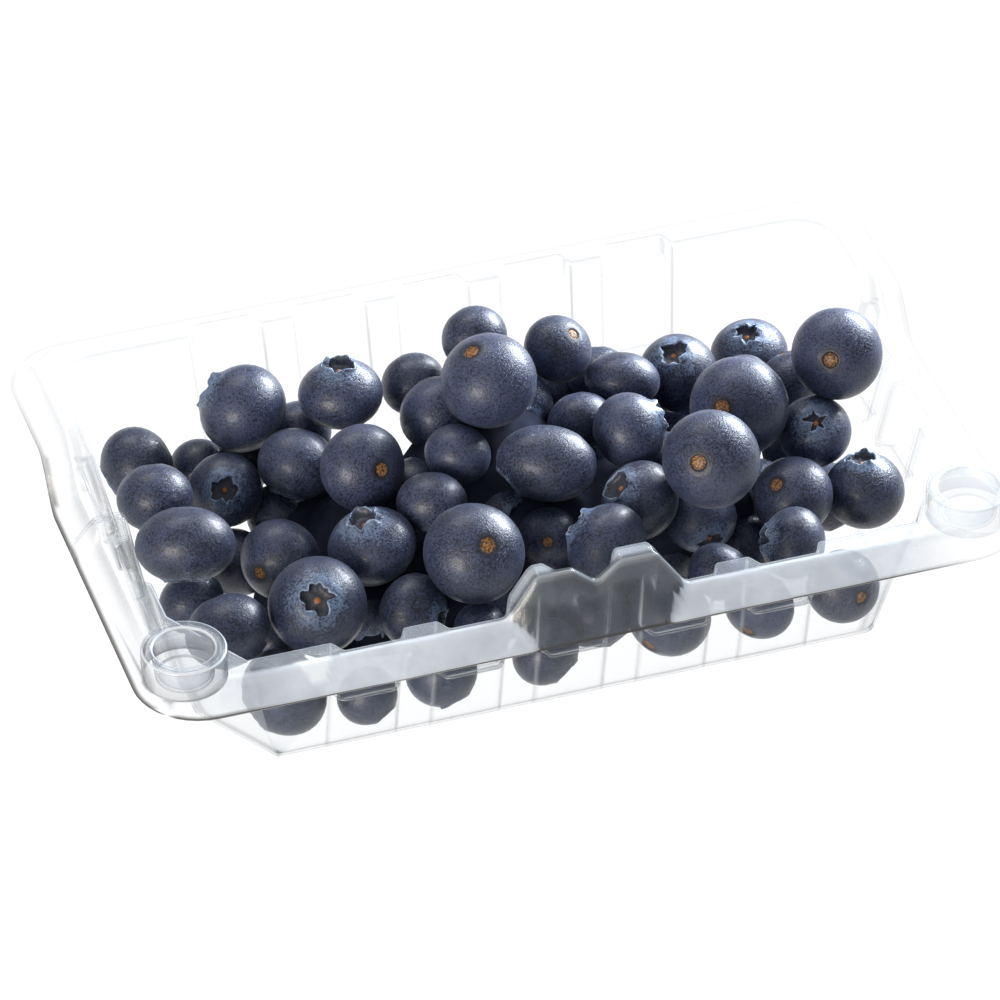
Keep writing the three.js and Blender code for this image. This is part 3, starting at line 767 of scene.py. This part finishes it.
# %% Seen berries and the front row
# Each seen berry: its spot in the picture across and down, its diameter and its height
SEEN = [
    (131, 466, 14.6, 22), (153, 498, 14.2, 27), (176, 547, 17.0, 28), (188, 603, 12.6, 13),
    (229, 632, 15.8, 21), (227, 492, 14.0, 20), (243, 409, 17.0, 30), (297, 465, 14.6, 25),
    (362, 468, 16.2, 30), (341, 394, 16.0, 32), (281, 560, 15.2, 20), (317, 606, 18.2, 23),
    (376, 549, 16.4, 24), (414, 606, 13.6, 19), (236, 560, 14.0, 10), (285, 514, 13.0, 12),
    (335, 509, 12.0, 9), (200, 466, 12.0, 16), (297, 434, 13.4, 20), (366, 606, 13.0, 11),
    (413, 384, 12.4, 28), (437, 415, 14.6, 30), (475, 338, 12.6, 38), (487, 383, 18.2, 41),
    (557, 350, 13.4, 36), (584, 418, 12.6, 28), (520, 403, 12.6, 29), (546, 463, 15.6, 33),
    (457, 456, 12.4, 32), (431, 502, 13.0, 28), (471, 557, 18.6, 28), (549, 539, 12.0, 21),
    (607, 544, 16.0, 27), (629, 430, 14.2, 33), (645, 503, 15.2, 25), (505, 514, 15.0, 19),
    (479, 632, 11.0, 16), (598, 374, 12.0, 25), (619, 383, 13.6, 31), (677, 373, 15.2, 26),
    (751, 355, 15.0, 21), (747, 384, 11.6, 26), (740, 407, 19.0, 33), (837, 355, 17.2, 38),
    (789, 379, 12.6, 21), (711, 459, 18.2, 39), (815, 431, 13.8, 26), (862, 491, 15.0, 20),
    (795, 499, 15.2, 22), (793, 541, 13.6, 21), (696, 520, 13.4, 19), (716, 574, 11.6, 18),
    (744, 542, 12.0, 13),
]
FRONT_ROW = [
    (-53.5, 17.0), (-38.5, 11.4), (-24.0, 13.4), (-3.8, 13.4), (20.5, 16.4), (38.0, 13.4), (54.5, 14.0),
]
TOUCH = 0.975
CLEARANCE = 0.5
SWEEPS = 240
STRAY = 0.2
FALL = 0.12
SEED = 11


def random_numbers(seed):
    state = seed
    while True:
        state = state * 16807 % 2147483647
        yield state / 2147483647


def on_sight_line(across, down, height):
    line = FORWARD + RIGHT * ((across - PICTURE / 2) / FOCAL) + UP * ((PICTURE / 2 - down) / FOCAL)
    place = EYE + line * ((height - EYE.z) / line.z)
    return place, line.normalized()


def seen_berries():
    made = []
    for across, down, diameter, height in SEEN:
        place, line = on_sight_line(across, down, height)
        made.append({"place": place, "line": line, "radius": diameter / 2, "kind": "seen"})
    return made


def front_row():
    made = []
    for x, diameter in FRONT_ROW:
        radius = diameter / 2
        z = radius + SHEET + CLEARANCE
        place = Vector((x, wall_at(z)["front"] + radius + CLEARANCE, z))
        made.append({"place": place, "radius": radius, "kind": "front"})
    return made


# %% Keeping a berry inside the wall
def keep_inside(berry):
    place = berry["place"]
    room = berry["radius"] + CLEARANCE
    wall = wall_at(max(place.z, 0.0))
    slack = room * math.hypot(RIM_HEIGHT, WALL["half"] - FLOOR["half"]) / RIM_HEIGHT
    place.z = max(place.z, room + SHEET)
    place.x = min(max(place.x, slack - wall["half"]), wall["half"] - slack)
    place.y = min(max(place.y, wall["front"] + slack), wall["back"] - slack)
    keep_from_front_corner(place, wall, slack)
    keep_from_rear_corner(place, wall, slack)


def keep_from_front_corner(place, wall, slack):
    shrink = WALL["half"] - wall["half"]
    end_x = CUT_CORNER[0] - shrink
    end_y = CUT_CORNER[1] + CUT_CORNER[2] * shrink
    along = Vector((wall["half"] - end_x, end_y - wall["front"])).normalized()
    side = math.copysign(1.0, place.x)
    from_end = Vector((side * place.x - end_x, place.y - wall["front"]))
    depth = slack - (along.x * from_end.y - along.y * from_end.x)
    if depth > 0:
        place.x -= side * depth * along.y
        place.y += depth * along.x


def keep_from_rear_corner(place, wall, slack):
    side = math.copysign(1.0, place.x)
    centre_x = wall["half"] - wall["radius"]
    centre_y = wall["back"] - wall["radius"]
    offset = Vector((side * place.x - centre_x, place.y - centre_y))
    most = max(wall["radius"] - slack, 0.0)
    if offset.x > 0 and offset.y > 0 and offset.length > most:
        offset = offset.normalized() * most
        place.x = side * (centre_x + offset.x)
        place.y = centre_y + offset.y


# %% Filling the tray out of sight
FILL_STEP = 3
FILL_TOP = 36
FILL_TRIES = 420
FILL_OVERLAP = 1.5
FILL_DIAMETERS = (12.8, 16.4)
LOW_LAYER = 15
COVER_POINTS = 8
COVER_REACH = 0.8
COVER_HIGH = 0.9
COVER_LOW = 0.4
# Picture points at which the white table shows between berries
GAPS = [(337, 537), (394, 430), (322, 500), (232, 532)]
GAP_RADIUS = 2


def in_view(place):
    offset = place - AIM
    return offset.dot(RIGHT), -offset.dot(UP), offset.dot(FORWARD)


def is_free(place, radius, berries, overlap=FILL_OVERLAP):
    trial = {"place": place.copy(), "radius": radius}
    keep_inside(trial)
    if (trial["place"] - place).length > FILL_OVERLAP:
        return False
    return all((place - b["place"]).length > radius + b["radius"] - overlap for b in berries)


def blocks_gap(place, radius):
    """Whether a berry would stand in a gap that shows the white table."""
    across, down, _ = in_view(place)
    for gap_across, gap_down in GAPS:
        gap = in_view(on_sight_line(gap_across, gap_down, place.z)[0])
        if math.hypot(gap[0] - across, gap[1] - down) < radius + GAP_RADIUS:
            return True
    return False


def views_of(berries, kinds):
    return [(*in_view(b["place"]), b["radius"]) for b in berries if b["kind"] in kinds]


def stays_unseen(place, radius, berries):
    across, down, depth = in_view(place)
    if blocks_gap(place, radius):
        return False
    covers = [c for c in views_of(berries, ("seen",)) if c[2] < depth]
    hidden = 0
    for k in range(COVER_POINTS):
        angle = 2 * math.pi * k / COVER_POINTS
        u = across + COVER_REACH * radius * math.cos(angle)
        v = down + COVER_REACH * radius * math.sin(angle)
        hidden += any(math.hypot(c[0] - u, c[1] - v) < c[3] for c in covers)
    wanted = COVER_LOW if place.z < LOW_LAYER else COVER_HIGH
    return hidden / COVER_POINTS >= wanted


def drawn_berry(random):
    """A radius and a place in plan, drawn at random."""
    radius = mix(*FILL_DIAMETERS, next(random)) / 2
    x = (2 * next(random) - 1) * WALL["half"]
    return radius, x, mix(WALL["front"], WALL["back"], next(random))


def fill_berries(berries):
    random = random_numbers(SEED)
    for height in range(0, FILL_TOP, FILL_STEP):
        for _ in range(FILL_TRIES):
            radius, x, y = drawn_berry(random)
            place = Vector((x, y, radius + SHEET + CLEARANCE + height))
            if is_free(place, radius, berries) and stays_unseen(place, radius, berries):
                berries.append({"place": place, "radius": radius, "kind": "unseen"})
    return berries


# %% Pushing the berries apart
def push_berry(berry, push):
    if berry["kind"] == "seen":
        along = berry["line"] * push.dot(berry["line"])
        berry["place"] += along + (push - along) * STRAY
    elif berry["kind"] == "unseen":
        berry["place"] += push


def settle(berries):
    pairs = [
        (a, b, (a["radius"] + b["radius"]) * TOUCH)
        for i, a in enumerate(berries) for b in berries[i + 1:]
    ]
    for _ in range(SWEEPS):
        for berry in berries:
            if berry["kind"] == "unseen":
                berry["place"].z -= FALL
        for a, b, wanted in pairs:
            offset = b["place"] - a["place"]
            distance = offset.length
            if distance < wanted:
                offset *= (wanted - distance) / 2 / distance
                push_berry(b, offset)
                push_berry(a, -offset)
        for berry in berries:
            keep_inside(berry)
    return berries


# %% Berries at the bottom of the gaps
DEEP_TRIES = 4000
DEEP_TOP = 24.0
DEEP_BELOW = 4.0
DEEP_REACH = 13.0


def is_deep(place, radius, berries):
    tops = [
        b["place"].z + b["radius"] for b in berries
        if math.hypot(b["place"].x - place.x, b["place"].y - place.y) < DEEP_REACH
    ]
    return len(tops) > 3 and place.z + radius < sorted(tops)[-2] - DEEP_BELOW


def add_deep_berries(berries):
    random = random_numbers(SEED)
    for _ in range(DEEP_TRIES):
        radius, x, y = drawn_berry(random)
        place = Vector((x, y, mix(radius + SHEET + CLEARANCE, DEEP_TOP, next(random))))
        free = is_deep(place, radius, berries) and is_free(place, radius, berries)
        if free and not blocks_gap(place, radius):
            berries.append({"place": place, "radius": radius, "kind": "deep"})
    return berries


# %% Berries behind the dark spots of the heap
# Picture points between berries where more berries show, and not the table
DARK_SPOTS = [(558, 389), (250, 456), (578, 443), (596, 612)]
COVER_RADII = [8.0, 7.3, 6.6, 5.9, 5.2]
COVER_STEPS = 22
COVER_OVERLAP = 4.0  # how far these may press into their neighbours, out of sight


def stands_behind(place, radius, berries):
    """Whether nothing that shows would be hidden by this berry."""
    across, down, depth = in_view(place)
    views = views_of(berries, ("seen", "front"))
    near = [v for v in views if math.hypot(v[0] - across, v[1] - down) < radius + v[3]]
    return all(depth > v[2] for v in near)


def add_cover_berries(berries):
    """The lowest and then the largest berry that fits behind each dark spot."""
    for across, down in DARK_SPOTS:
        for radius in COVER_RADII:
            heights = [radius + SHEET + CLEARANCE + step for step in range(COVER_STEPS)]
            places = [on_sight_line(across, down, height)[0] for height in heights]
            places = [p for p in places if not blocks_gap(p, radius)]
            places = [p for p in places if stands_behind(p, radius, berries)]
            free = [p for p in places if is_free(p, radius, berries, COVER_OVERLAP)]
            if free:
                berries.append({"place": free[0], "radius": radius, "kind": "deep"})
                break
    return berries


berries = settle(fill_berries(seen_berries() + front_row()))
berries = add_cover_berries(add_deep_berries(berries))
kinds = [berry["kind"] for berry in berries]
print("berries:", len(kinds), "unseen:", kinds.count("unseen"), "deep:", kinds.count("deep"))

# %% [markdown]
# ## The shape of one berry
# A blueberry is a slightly flattened ball. At one end is the crown: five short lobes
# round a shallow cup, left from the flower. At the other is a small round scar in a dip,
# where the stem was. The whole berry is one closed surface of rings round its axis, from
# the middle of the cup, up over the lobes, down the skin and in to the scar. The lobes
# come from the angle round the axis, so the cup's mouth is a five-pointed star.

# %% Rings of a berry
CROWN_REACH = 0.40  # radius of the crown's mouth, as a share of the berry's radius
CUP_DEPTH_SHARE = 0.13
DOT_REACH = 0.05
SCAR_REACH = 0.13
DIP_REACH = 0.30
DIP_DEPTH = 0.03
CROWN_FOOT = 0.455  # where the lobes end on the skin
BODY_START = 0.52
LOBES = 5
RAGGED_SPOTS = 50


def crown_rings(turns, shape):
    """Rings of the crown from the axis outwards, each as reach, height and masks."""
    flatness, openness = shape["flatness"], shape["openness"]
    angle = np.arange(turns) * 2 * math.pi / turns
    lobe = np.abs(np.sin(angle * LOBES / 2))
    size = shape["lobe_sizes"][(np.arange(turns) * LOBES // turns) % LOBES]
    ragged = shape["ragged"][np.arange(turns) % len(shape["ragged"])]
    top = flatness * math.sqrt(1 - CROWN_REACH**2)
    floor = top - CUP_DEPTH_SHARE
    closed = (1 - openness) * np.minimum(size, 1.15)
    wavy = sum(np.sin(count * angle + phase) for count, phase in shape["edge_waves"])
    edge = CROWN_REACH * (1 - closed * lobe**0.55 + 0.22 * ragged + 0.05 * wavy)
    tip = shape["lobe_height"] * size * lobe**0.6 * (1 + 0.35 * ragged)
    ones = np.ones(turns)
    foot = np.minimum(edge * 0.92, CROWN_REACH * 0.86)
    lean = 0.25 * (CROWN_REACH - edge)
    skin_height = flatness * math.sqrt(1 - CROWN_FOOT**2) + tip * 0.2 + 0.012
    return [
        (DOT_REACH * ones, (floor + 0.03) * ones, (0.0, 1.0, 0.0), 1.0),
        (DOT_REACH * 1.6 * ones, floor * ones, (0.0, 1.0, 0.0), 0.0),
        (foot * 0.6, (floor + 0.008) * ones, (0.05, 0.95, 0.0), 0.0),
        (foot, (floor + 0.03) * ones, (0.2, 0.9, 0.0), 0.0),
        (edge - 0.014, top + tip - 0.035, (0.85, 0.35, 0.0), 0.0),
        (edge, top + tip, (1.0, 0.0, 0.0), 0.0),
        (edge + 0.03 + lean, top + tip * 0.75 + 0.005, (0.9, 0.0, 0.0), 0.0),
        (CROWN_FOOT * ones, skin_height, (0.88, 0.0, 0.0), 0.0),
    ]


def body_rings(turns, flatness, count, bloom):
    start, end = math.asin(BODY_START), math.pi - math.asin(DIP_REACH)
    ones = np.ones(turns)
    rings = []
    for k in range(count):
        polar = mix(start, end, k / (count - 1))
        halo = 1.0 - smooth_share(math.sin(polar) if polar < math.pi / 2 else 1.0, 0.46, 0.84)
        height = flatness * math.cos(polar) * ones
        rings.append((math.sin(polar) * ones, height, (0.9 * halo * bloom, 0.0, 0.0), 0.0))
    return rings


# Rings of the scar: reach, how high the lip stands and how dark the skin is
SCAR_ROWS = [
    (0.28, 0.0, 0.2), (0.23, 0.0, 0.6), (0.19, 0.006, 0.9), (0.16, 0.002, 1.0),
    (0.14, -0.02, 0.9), (0.12, -0.010, 0.15), (0.06, -0.014, 0.0),
]


def scar_rings(turns, flatness):
    rings = []
    for reach, lip, dark in SCAR_ROWS:
        dip = DIP_DEPTH * (1 - smooth_share(reach, 0.1, DIP_REACH))
        height = -flatness * math.sqrt(1 - reach**2) + dip - lip
        scar = 1.0 if reach < SCAR_REACH + 0.012 else 0.0
        rings.append((reach * np.ones(turns), height * np.ones(turns), (0.0, 0.0, scar), -dark))
    return rings


def berry_rings(turns, body_count, shape):
    rings = crown_rings(turns, shape)
    rings += body_rings(turns, shape["flatness"], body_count, shape["bloom"])
    return rings + scar_rings(turns, shape["flatness"])


# %% Points, faces and masks of a berry
def lumps(directions, shape):
    """A few broad low waves over the ball, so that no two berries are alike."""
    total = np.zeros(len(directions))
    for axis, phase, count in shape["waves"]:
        total += np.sin(count * (directions @ axis) + phase)
    return 1.0 + shape["unevenness"] * total


def berry_surface(turns, body_count, shape):
    rings = berry_rings(turns, body_count, shape)
    angle = np.arange(turns) * 2 * math.pi / turns
    top = rings[0][1][0]
    bottom = rings[-1][1][0]
    points = [(0.0, 0.0, top + 0.006)]
    zones = [(0.0, 1.0, 0.0)]
    marks = [1.0]
    for reach, height, zone, mark in rings:
        points += list(zip(reach * np.cos(angle), reach * np.sin(angle), height))
        zones += [zone] * turns
        marks += [mark] * turns
    points.append((0.0, 0.0, bottom))
    zones.append((0.0, 0.0, 1.0))
    marks.append(0.0)
    points = np.array(points)
    directions = points / np.linalg.norm(points, axis=1, keepdims=True)
    points = points * lumps(directions, shape)[:, None]
    return points, ring_faces(len(rings), turns), np.array(zones), np.array(marks)


def ring_faces(ring_count, turns):
    faces = [(0, 1 + s, 1 + (s + 1) % turns) for s in range(turns)]
    for row in range(ring_count - 1):
        a, b = 1 + row * turns, 1 + (row + 1) * turns
        faces += [(a + s, b + s, b + (s + 1) % turns, a + (s + 1) % turns) for s in range(turns)]
    last = 1 + (ring_count - 1) * turns
    faces += [(last + s, last + turns, last + (s + 1) % turns) for s in range(turns)]
    return faces


# %% [markdown]
# ## Which way each berry points
# A crown or a scar that shows in the picture fixes its berry's axis: the spot's offset
# from the berry's middle gives the direction across the view, and what is left of the
# radius points to the viewer. Berries that show neither lie on their side.

# %% Crowns and scars that show
# Each crown: its spot in the picture, how open its mouth is and how high its lobes stand.
CROWNS = {
    5: (227, 493, 0.80, 0.05), 9: (338, 360, 0.92, 0.17), 11: (318, 600, 0.66, 0.05),
    12: (366, 518, 0.85, 0.16), 26: (522, 418, 0.80, 0.10), 33: (662, 414, 0.80, 0.16),
    34: (620, 488, 0.90, 0.06), 39: (672, 352, 0.70, 0.06), 40: (747, 330, 0.66, 0.10),
    46: (815, 420, 0.40, 0.03), 47: (858, 458, 0.80, 0.08), 50: (706, 544, 0.75, 0.05),
    49: (762, 536, 0.80, 0.12), 32: (570, 518, 0.85, 0.12), 35: (524, 518, 0.80, 0.06),
    6: (203, 386, 0.85, 0.12), 19: (372, 636, 0.80, 0.10), 13: (444, 616, 0.80, 0.08),
}
SCARS = {
    8: (383, 470), 10: (261, 573), 23: (470, 355), 24: (574, 334), 30: (485, 549),
    31: (547, 542), 42: (720, 408), 43: (828, 362), 45: (697, 463), 48: (777, 486),
}
MARK_DEPTH = 0.9  # crowns and scars lie at this share of the radius, as berries are flattened
FRONT_AXES = {57: (-0.5, -0.75, 0.35), 58: (-0.4, -0.8, 0.4), 59: (0.5, -0.3, 0.8)}


def to_world(across, up, towards):
    return (RIGHT * across + UP * up - FORWARD * towards).normalized()


def axis_to_mark(index, spot):
    across, down, diameter, _ = SEEN[index]
    reach = diameter / 2 * FOCAL / DISTANCE * MARK_DEPTH
    u = (spot[0] - across) / reach
    v = (down - spot[1]) / reach
    return to_world(u, v, math.sqrt(max(1 - u * u - v * v, 0.0)))


def berry_axis(index, random):
    angle = math.radians(mix(-150.0, -30.0, next(random)))
    towards = mix(-0.1, 0.1, next(random))
    if index in CROWNS:
        return axis_to_mark(index, CROWNS[index])
    if index in SCARS:
        return -axis_to_mark(index, SCARS[index])
    if index in FRONT_AXES:
        return -to_world(*FRONT_AXES[index])
    return to_world(math.cos(angle), math.sin(angle), towards)


def softened(values):
    """Values round a ring, each averaged with its two neighbours."""
    values = np.array(values)
    return (np.roll(values, 1) + 2 * values + np.roll(values, -1)) / 4


def berry_shape(index, random):
    openness, lobe_height = CROWNS[index][2:] if index in CROWNS else (0.8, 0.03)
    waves = []
    for count in (1.7, 2.3, 3.1):
        axis = Vector((next(random) - 0.5, next(random) - 0.5, next(random) - 0.5)).normalized()
        waves.append((np.array(axis), 6.28 * next(random), count))
    return {
        "flatness": FLATNESS.get(index, mix(0.86, 0.95, next(random))),
        "openness": openness,
        "lobe_height": lobe_height,
        "lobe_sizes": np.array([mix(0.55, 1.25, next(random)) for _ in range(LOBES)]),
        "ragged": softened([mix(-1.0, 1.0, next(random)) for _ in range(RAGGED_SPOTS)]),
        "bloom": 1.0 if index in CROWNS else mix(0.1, 0.5, next(random)),
        "waves": waves,
        "edge_waves": [(count, 6.28 * next(random)) for count in (2, 3, 7, 11)],
        "unevenness": 0.009,
        "tone": next(random),
        "roll": 2 * math.pi * next(random),
    }


# Berries that are plainly flatter than the rest, and the long one
FLATNESS = {9: 0.80, 12: 0.80, 32: 0.87, 40: 0.78, 38: 0.84, 2: 0.88}
# Berries that are longer across the view: their length and height, as shares of the diameter
LONG = {27: (1.24, 0.93), 2: (1.10, 0.95), 38: (1.04, 0.94)}


# %% All the berries in one mesh
# Points round a ring and rings on the body, for berries that show and for the others
FINE_RINGS = (44, 13)
PLAIN_RINGS = (20, 6)


def turn_to(axis, roll):
    """The rotation that takes +Z to an axis, after a turn about it."""
    return Vector((0, 0, 1)).rotation_difference(axis).to_matrix() @ Matrix.Rotation(roll, 3, "Z")


def placed(points, berry, axis, shape, index):
    turned_points = points @ np.array(turn_to(axis, shape["roll"])).T * berry["radius"]
    if index in LONG:
        stretch, squeeze = LONG[index]
        across = np.array(RIGHT)
        share = turned_points @ across
        turned_points = turned_points * squeeze
        turned_points += np.outer(share * (stretch - squeeze), across)
    return turned_points + np.array(berry["place"])


def build_berries():
    random = random_numbers(SEED)
    points, faces, zones, marks = [], [], [], []
    total = 0
    for index, berry in enumerate(berries):
        axis = berry_axis(index, random)
        shape = berry_shape(index, random)
        shows = berry["kind"] in ("seen", "front")
        turns, body_count = FINE_RINGS if shows else PLAIN_RINGS
        local, local_faces, zone, mark = berry_surface(turns, body_count, shape)
        points.append(placed(local, berry, axis, shape, index))
        faces += [tuple(v + total for v in face) for face in local_faces]
        zones.append(zone)
        dark = np.maximum(-mark, 0)
        dot = np.maximum(mark, 0)
        marks.append(np.column_stack([dot, dark, np.full(len(mark), shape["tone"])]))
        total += len(local)
    piece = make_piece("blueberries", np.vstack(points), faces, 80.0)
    paint(piece, "zones", np.vstack(zones))
    paint(piece, "marks", np.vstack(marks))
    return piece


heap = build_berries()
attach(heap, "root")
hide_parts("berries")
triangles = sum(len(face.vertices) - 2 for face in heap.data.polygons)
print("berry triangles:", triangles)

# %% [markdown]
# ## The core under the heap
# Deep between the berries no light comes back. A lumpy core, well below the skin of the heap,
# keeps the far side from showing through there; its near black colour is painted shade.

# %% Core
CORE_HALF = 50.0
CORE_MIDDLE = -0.5
CORE_REACH = 19.5
CORE_ROUNDING = 3.0
CORE_FLOOR = 3.0
CORE_BELOW = 15.5
CORE_LEAST = 5.0
CORE_FALL = 20.0  # the larger it is, the slower the core falls off beside a berry
CORE_COLUMNS = 48
CORE_ROWS = 20


def core_top(x, y):
    heights = [
        b["place"].z + b["radius"] - ((b["place"].x - x) ** 2 + (b["place"].y - y) ** 2) / CORE_FALL
        for b in berries
    ]
    edge = max(abs(x) / CORE_HALF, abs(y - CORE_MIDDLE) / (CORE_REACH + 0.5))
    top = max(CORE_LEAST, max(heights) - CORE_BELOW)
    return mix(top, CORE_FLOOR + 0.5, smooth_share(edge, 0.8, 1.0))


def core_mesh():
    points = []
    for j in range(CORE_ROWS + 1):
        for i in range(CORE_COLUMNS + 1):
            across = mix(-1.0, 1.0, i / CORE_COLUMNS)
            along = mix(-1.0, 1.0, j / CORE_ROWS)
            x = CORE_HALF * across * math.sqrt(1.0 - along**2 / CORE_ROUNDING)
            y = CORE_MIDDLE + CORE_REACH * along * math.sqrt(1.0 - across**2 / CORE_ROUNDING)
            points.append((x, y, core_top(x, y)))
    count = len(points)
    points += [(x, y, CORE_FLOOR) for x, y, _ in points]
    width = CORE_COLUMNS + 1
    faces = []
    for j in range(CORE_ROWS):
        for i in range(CORE_COLUMNS):
            a = j * width + i
            face = (a, a + 1, a + width + 1, a + width)
            faces += [face, tuple(v + count for v in reversed(face))]
    rim = list(range(CORE_COLUMNS))
    rim += [j * width + CORE_COLUMNS for j in range(CORE_ROWS)]
    rim += [CORE_ROWS * width + i for i in range(CORE_COLUMNS, 0, -1)]
    rim += [j * width for j in range(CORE_ROWS, 0, -1)]
    for a, b in zip(rim, rim[1:] + rim[:1]):
        faces.append((a, a + count, b + count, b))
    return points, faces


core = make_piece("heap_core", *core_mesh(), sharp_angle=60.0)
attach(core, "root")
print("core faces:", len(core.data.polygons))

# %% [markdown]
# ## Blueberry skin
# The skin is nearly black. A thin wax bloom makes it look dusty blue, fine as powder and
# rubbed in places by handling. It is thick and pale round the crown, and there are fine
# dark pits and a few light specks. Noise at several sizes mixes the two colours, and the
# masks that were stored with the mesh colour the crown's cup, a painted highlight along the
# edges of its lobes, its orange dot and the brown stem scar. A thin coat gives the wax its
# soft second highlight.

# %% Finish of the skin
def berry_skin():
    finish = Finish("berry_skin")
    halo, cup, scar = finish.masks("zones")
    dot, ring, tone = finish.masks("marks")
    patches = finish.noise(120.0, 3.0, 0.6)
    dust = finish.noise(2600.0, 2.0, 0.6)
    pits = finish.between(finish.noise(2600.0, 2.0, 0.5), 0.60, 0.70)
    specks = finish.between(finish.noise(1900.0, 1.0, 0.4), 0.735, 0.765)
    clumps = finish.noise(420.0, 3.0, 0.65)
    wax = finish.between(patches * 0.25 + clumps * 0.25 + dust * 1.3 + tone * 0.1, 0.68, 1.22)
    skin = finish.colours(wax, colour(0.0060, 0.0074, 0.0155), colour(0.060, 0.078, 0.158))
    skin = finish.colours(pits * 0.5, skin, colour(0.006, 0.007, 0.011))
    skin = finish.colours(specks * 0.35, skin, colour(0.20, 0.22, 0.26))
    halo_share = finish.between(halo * 0.95 + clumps * 1.6 + dust * 2.0 - 2.15, 0.0, 0.75)
    skin = finish.colours(halo_share * 0.8, skin, colour(0.15, 0.215, 0.34))
    # Painted highlight along the edges of the crown's lobes.
    rim = finish.between(halo, 0.91, 0.99) * finish.between(clumps, 0.35, 0.6)
    skin = finish.colours(rim * 0.9, skin, colour(0.34, 0.44, 0.60))
    inside = finish.colours(dust, colour(0.008, 0.009, 0.013), colour(0.065, 0.072, 0.100))
    skin = finish.colours(cup, skin, inside)
    skin = finish.colours(dot, skin, colour(0.38, 0.13, 0.03))
    skin = finish.colours(ring * 0.85, skin, colour(0.006, 0.006, 0.009))
    flakes = finish.between(dust, 0.4, 0.62)
    bark = finish.colours(flakes, colour(0.06, 0.026, 0.012), colour(0.38, 0.18, 0.06))
    skin = finish.colours(scar, skin, bark)
    rough = finish.between(patches + dust * 0.3, 0.3, 1.0) * 0.12 + 0.33
    rough = rough + scar * 0.3 + cup * 0.2 + ring * 0.35
    bumped = finish.bump(dust * 0.6 + pits * -0.25 + patches * 0.5, 0.8, 0.0003)
    return finish.show(finish.node("ShaderNodeBsdfPrincipled", {}, {
        "Base Color": skin, "Roughness": rough, "Normal": bumped, "IOR": 1.45,
        "Sheen Weight": 0.06, "Sheen Roughness": 0.4, "Coat Weight": 0.15, "Coat Roughness": 0.18,
    }))


heap.data.materials.append(berry_skin())


# Near black painted shade for the core, mottled by noise.
def core_shade():
    finish = Finish("core_shade")
    shade = finish.noise(400.0, 3.0)
    dark = finish.colours(shade, colour(0.012, 0.014, 0.024), colour(0.035, 0.042, 0.070))
    return finish.show(finish.node("ShaderNodeBsdfPrincipled", {}, {
        "Base Color": dark, "Roughness": 1.0, "Specular IOR Level": 0.1,
    }))


core.data.materials.append(core_shade())
print("skin nodes:", len(heap.data.materials[0].node_tree.nodes))

# %% [markdown]
# ## Studio
# The picture is high key: the ground is pure white, with no shadow. So the floor glows
# white to the camera and in mirror reflections, but diffuse rays miss it, and it lights
# nothing. A small cool softbox close behind on the right gives each berry its upper
# highlight, stronger on that side of the heap. A larger warm one in front on the left
# gives the broad soft one, and a weak third lights the tops from behind. The
# surroundings are light above and dark below, which shades each berry's underside.

# %% Floor
FLOOR_HALF = 1500.0
FLOOR_HEIGHT = -0.4


def make_floor():
    turns = [(-1, -1), (1, -1), (1, 1), (-1, 1)]
    corners = [(x * FLOOR_HALF, y * FLOOR_HALF, FLOOR_HEIGHT) for x, y in turns]
    floor = make_piece("studio_floor", corners, [(0, 1, 2, 3)])
    finish = Finish("studio_floor")
    paper = finish.node("ShaderNodeEmission", {}, {"Color": colour(1.0, 1.0, 1.0), "Strength": 1.1})
    floor.data.materials.append(finish.show(paper))
    finish.material.cycles.emission_sampling = "NONE"
    floor.visible_diffuse = False
    return floor


make_floor()


# %% Lamps and surroundings
def softbox(name, direction, distance, size, power, tint):
    data = bpy.data.lights.new(name, "AREA")
    data.shape = "RECTANGLE"
    data.size, data.size_y = size
    data.energy = power
    data.color = tint
    lamp = bpy.data.objects.new(name, data)
    towards = to_world(*direction)
    lamp.location = (AIM + towards * distance) * MM
    lamp.rotation_mode = "QUATERNION"
    lamp.rotation_quaternion = (-towards).to_track_quat("-Z", "Y")
    bpy.context.scene.collection.objects.link(lamp)
    return lamp


softbox("warm_front_box", (-0.50, -0.36, 0.79), 900, (0.42, 0.36), 7.5, (1.0, 0.92, 0.82))
softbox("cool_rear_box", (0.58, 0.68, -0.28), 380, (0.20, 0.16), 4.6, (0.86, 0.93, 1.0))
softbox("top_box", (-0.25, 0.92, 0.10), 1000, (0.6, 0.4), 3.5, (1.0, 1.0, 1.0))


LIGHT_BELOW = 0.04
LIGHT_ABOVE = 0.46


def make_world():
    world = bpy.data.worlds.new("studio_world")
    world.use_nodes = True
    nodes, links = world.node_tree.nodes, world.node_tree.links
    background = nodes["Background"]
    background.inputs["Color"].default_value = colour(0.95, 0.97, 1.0)
    direction = nodes.new("ShaderNodeTexCoord")
    split = nodes.new("ShaderNodeSeparateXYZ")
    rise = nodes.new("ShaderNodeMapRange")
    links.new(direction.outputs["Generated"], split.inputs[0])
    links.new(split.outputs["Z"], rise.inputs["Value"])
    links.new(rise.outputs["Result"], background.inputs["Strength"])
    ends = {"From Min": -0.3, "From Max": 0.7, "To Min": LIGHT_BELOW, "To Max": LIGHT_ABOVE}
    for name, value in ends.items():
        rise.inputs[name].default_value = value
    bpy.context.scene.world = world


make_world()
bpy.context.scene.view_settings.view_transform = "Standard"
cycles = bpy.context.scene.cycles
cycles.transparent_max_bounces = 32
cycles.max_bounces = 4
cycles.diffuse_bounces = 2
cycles.glossy_bounces = 2
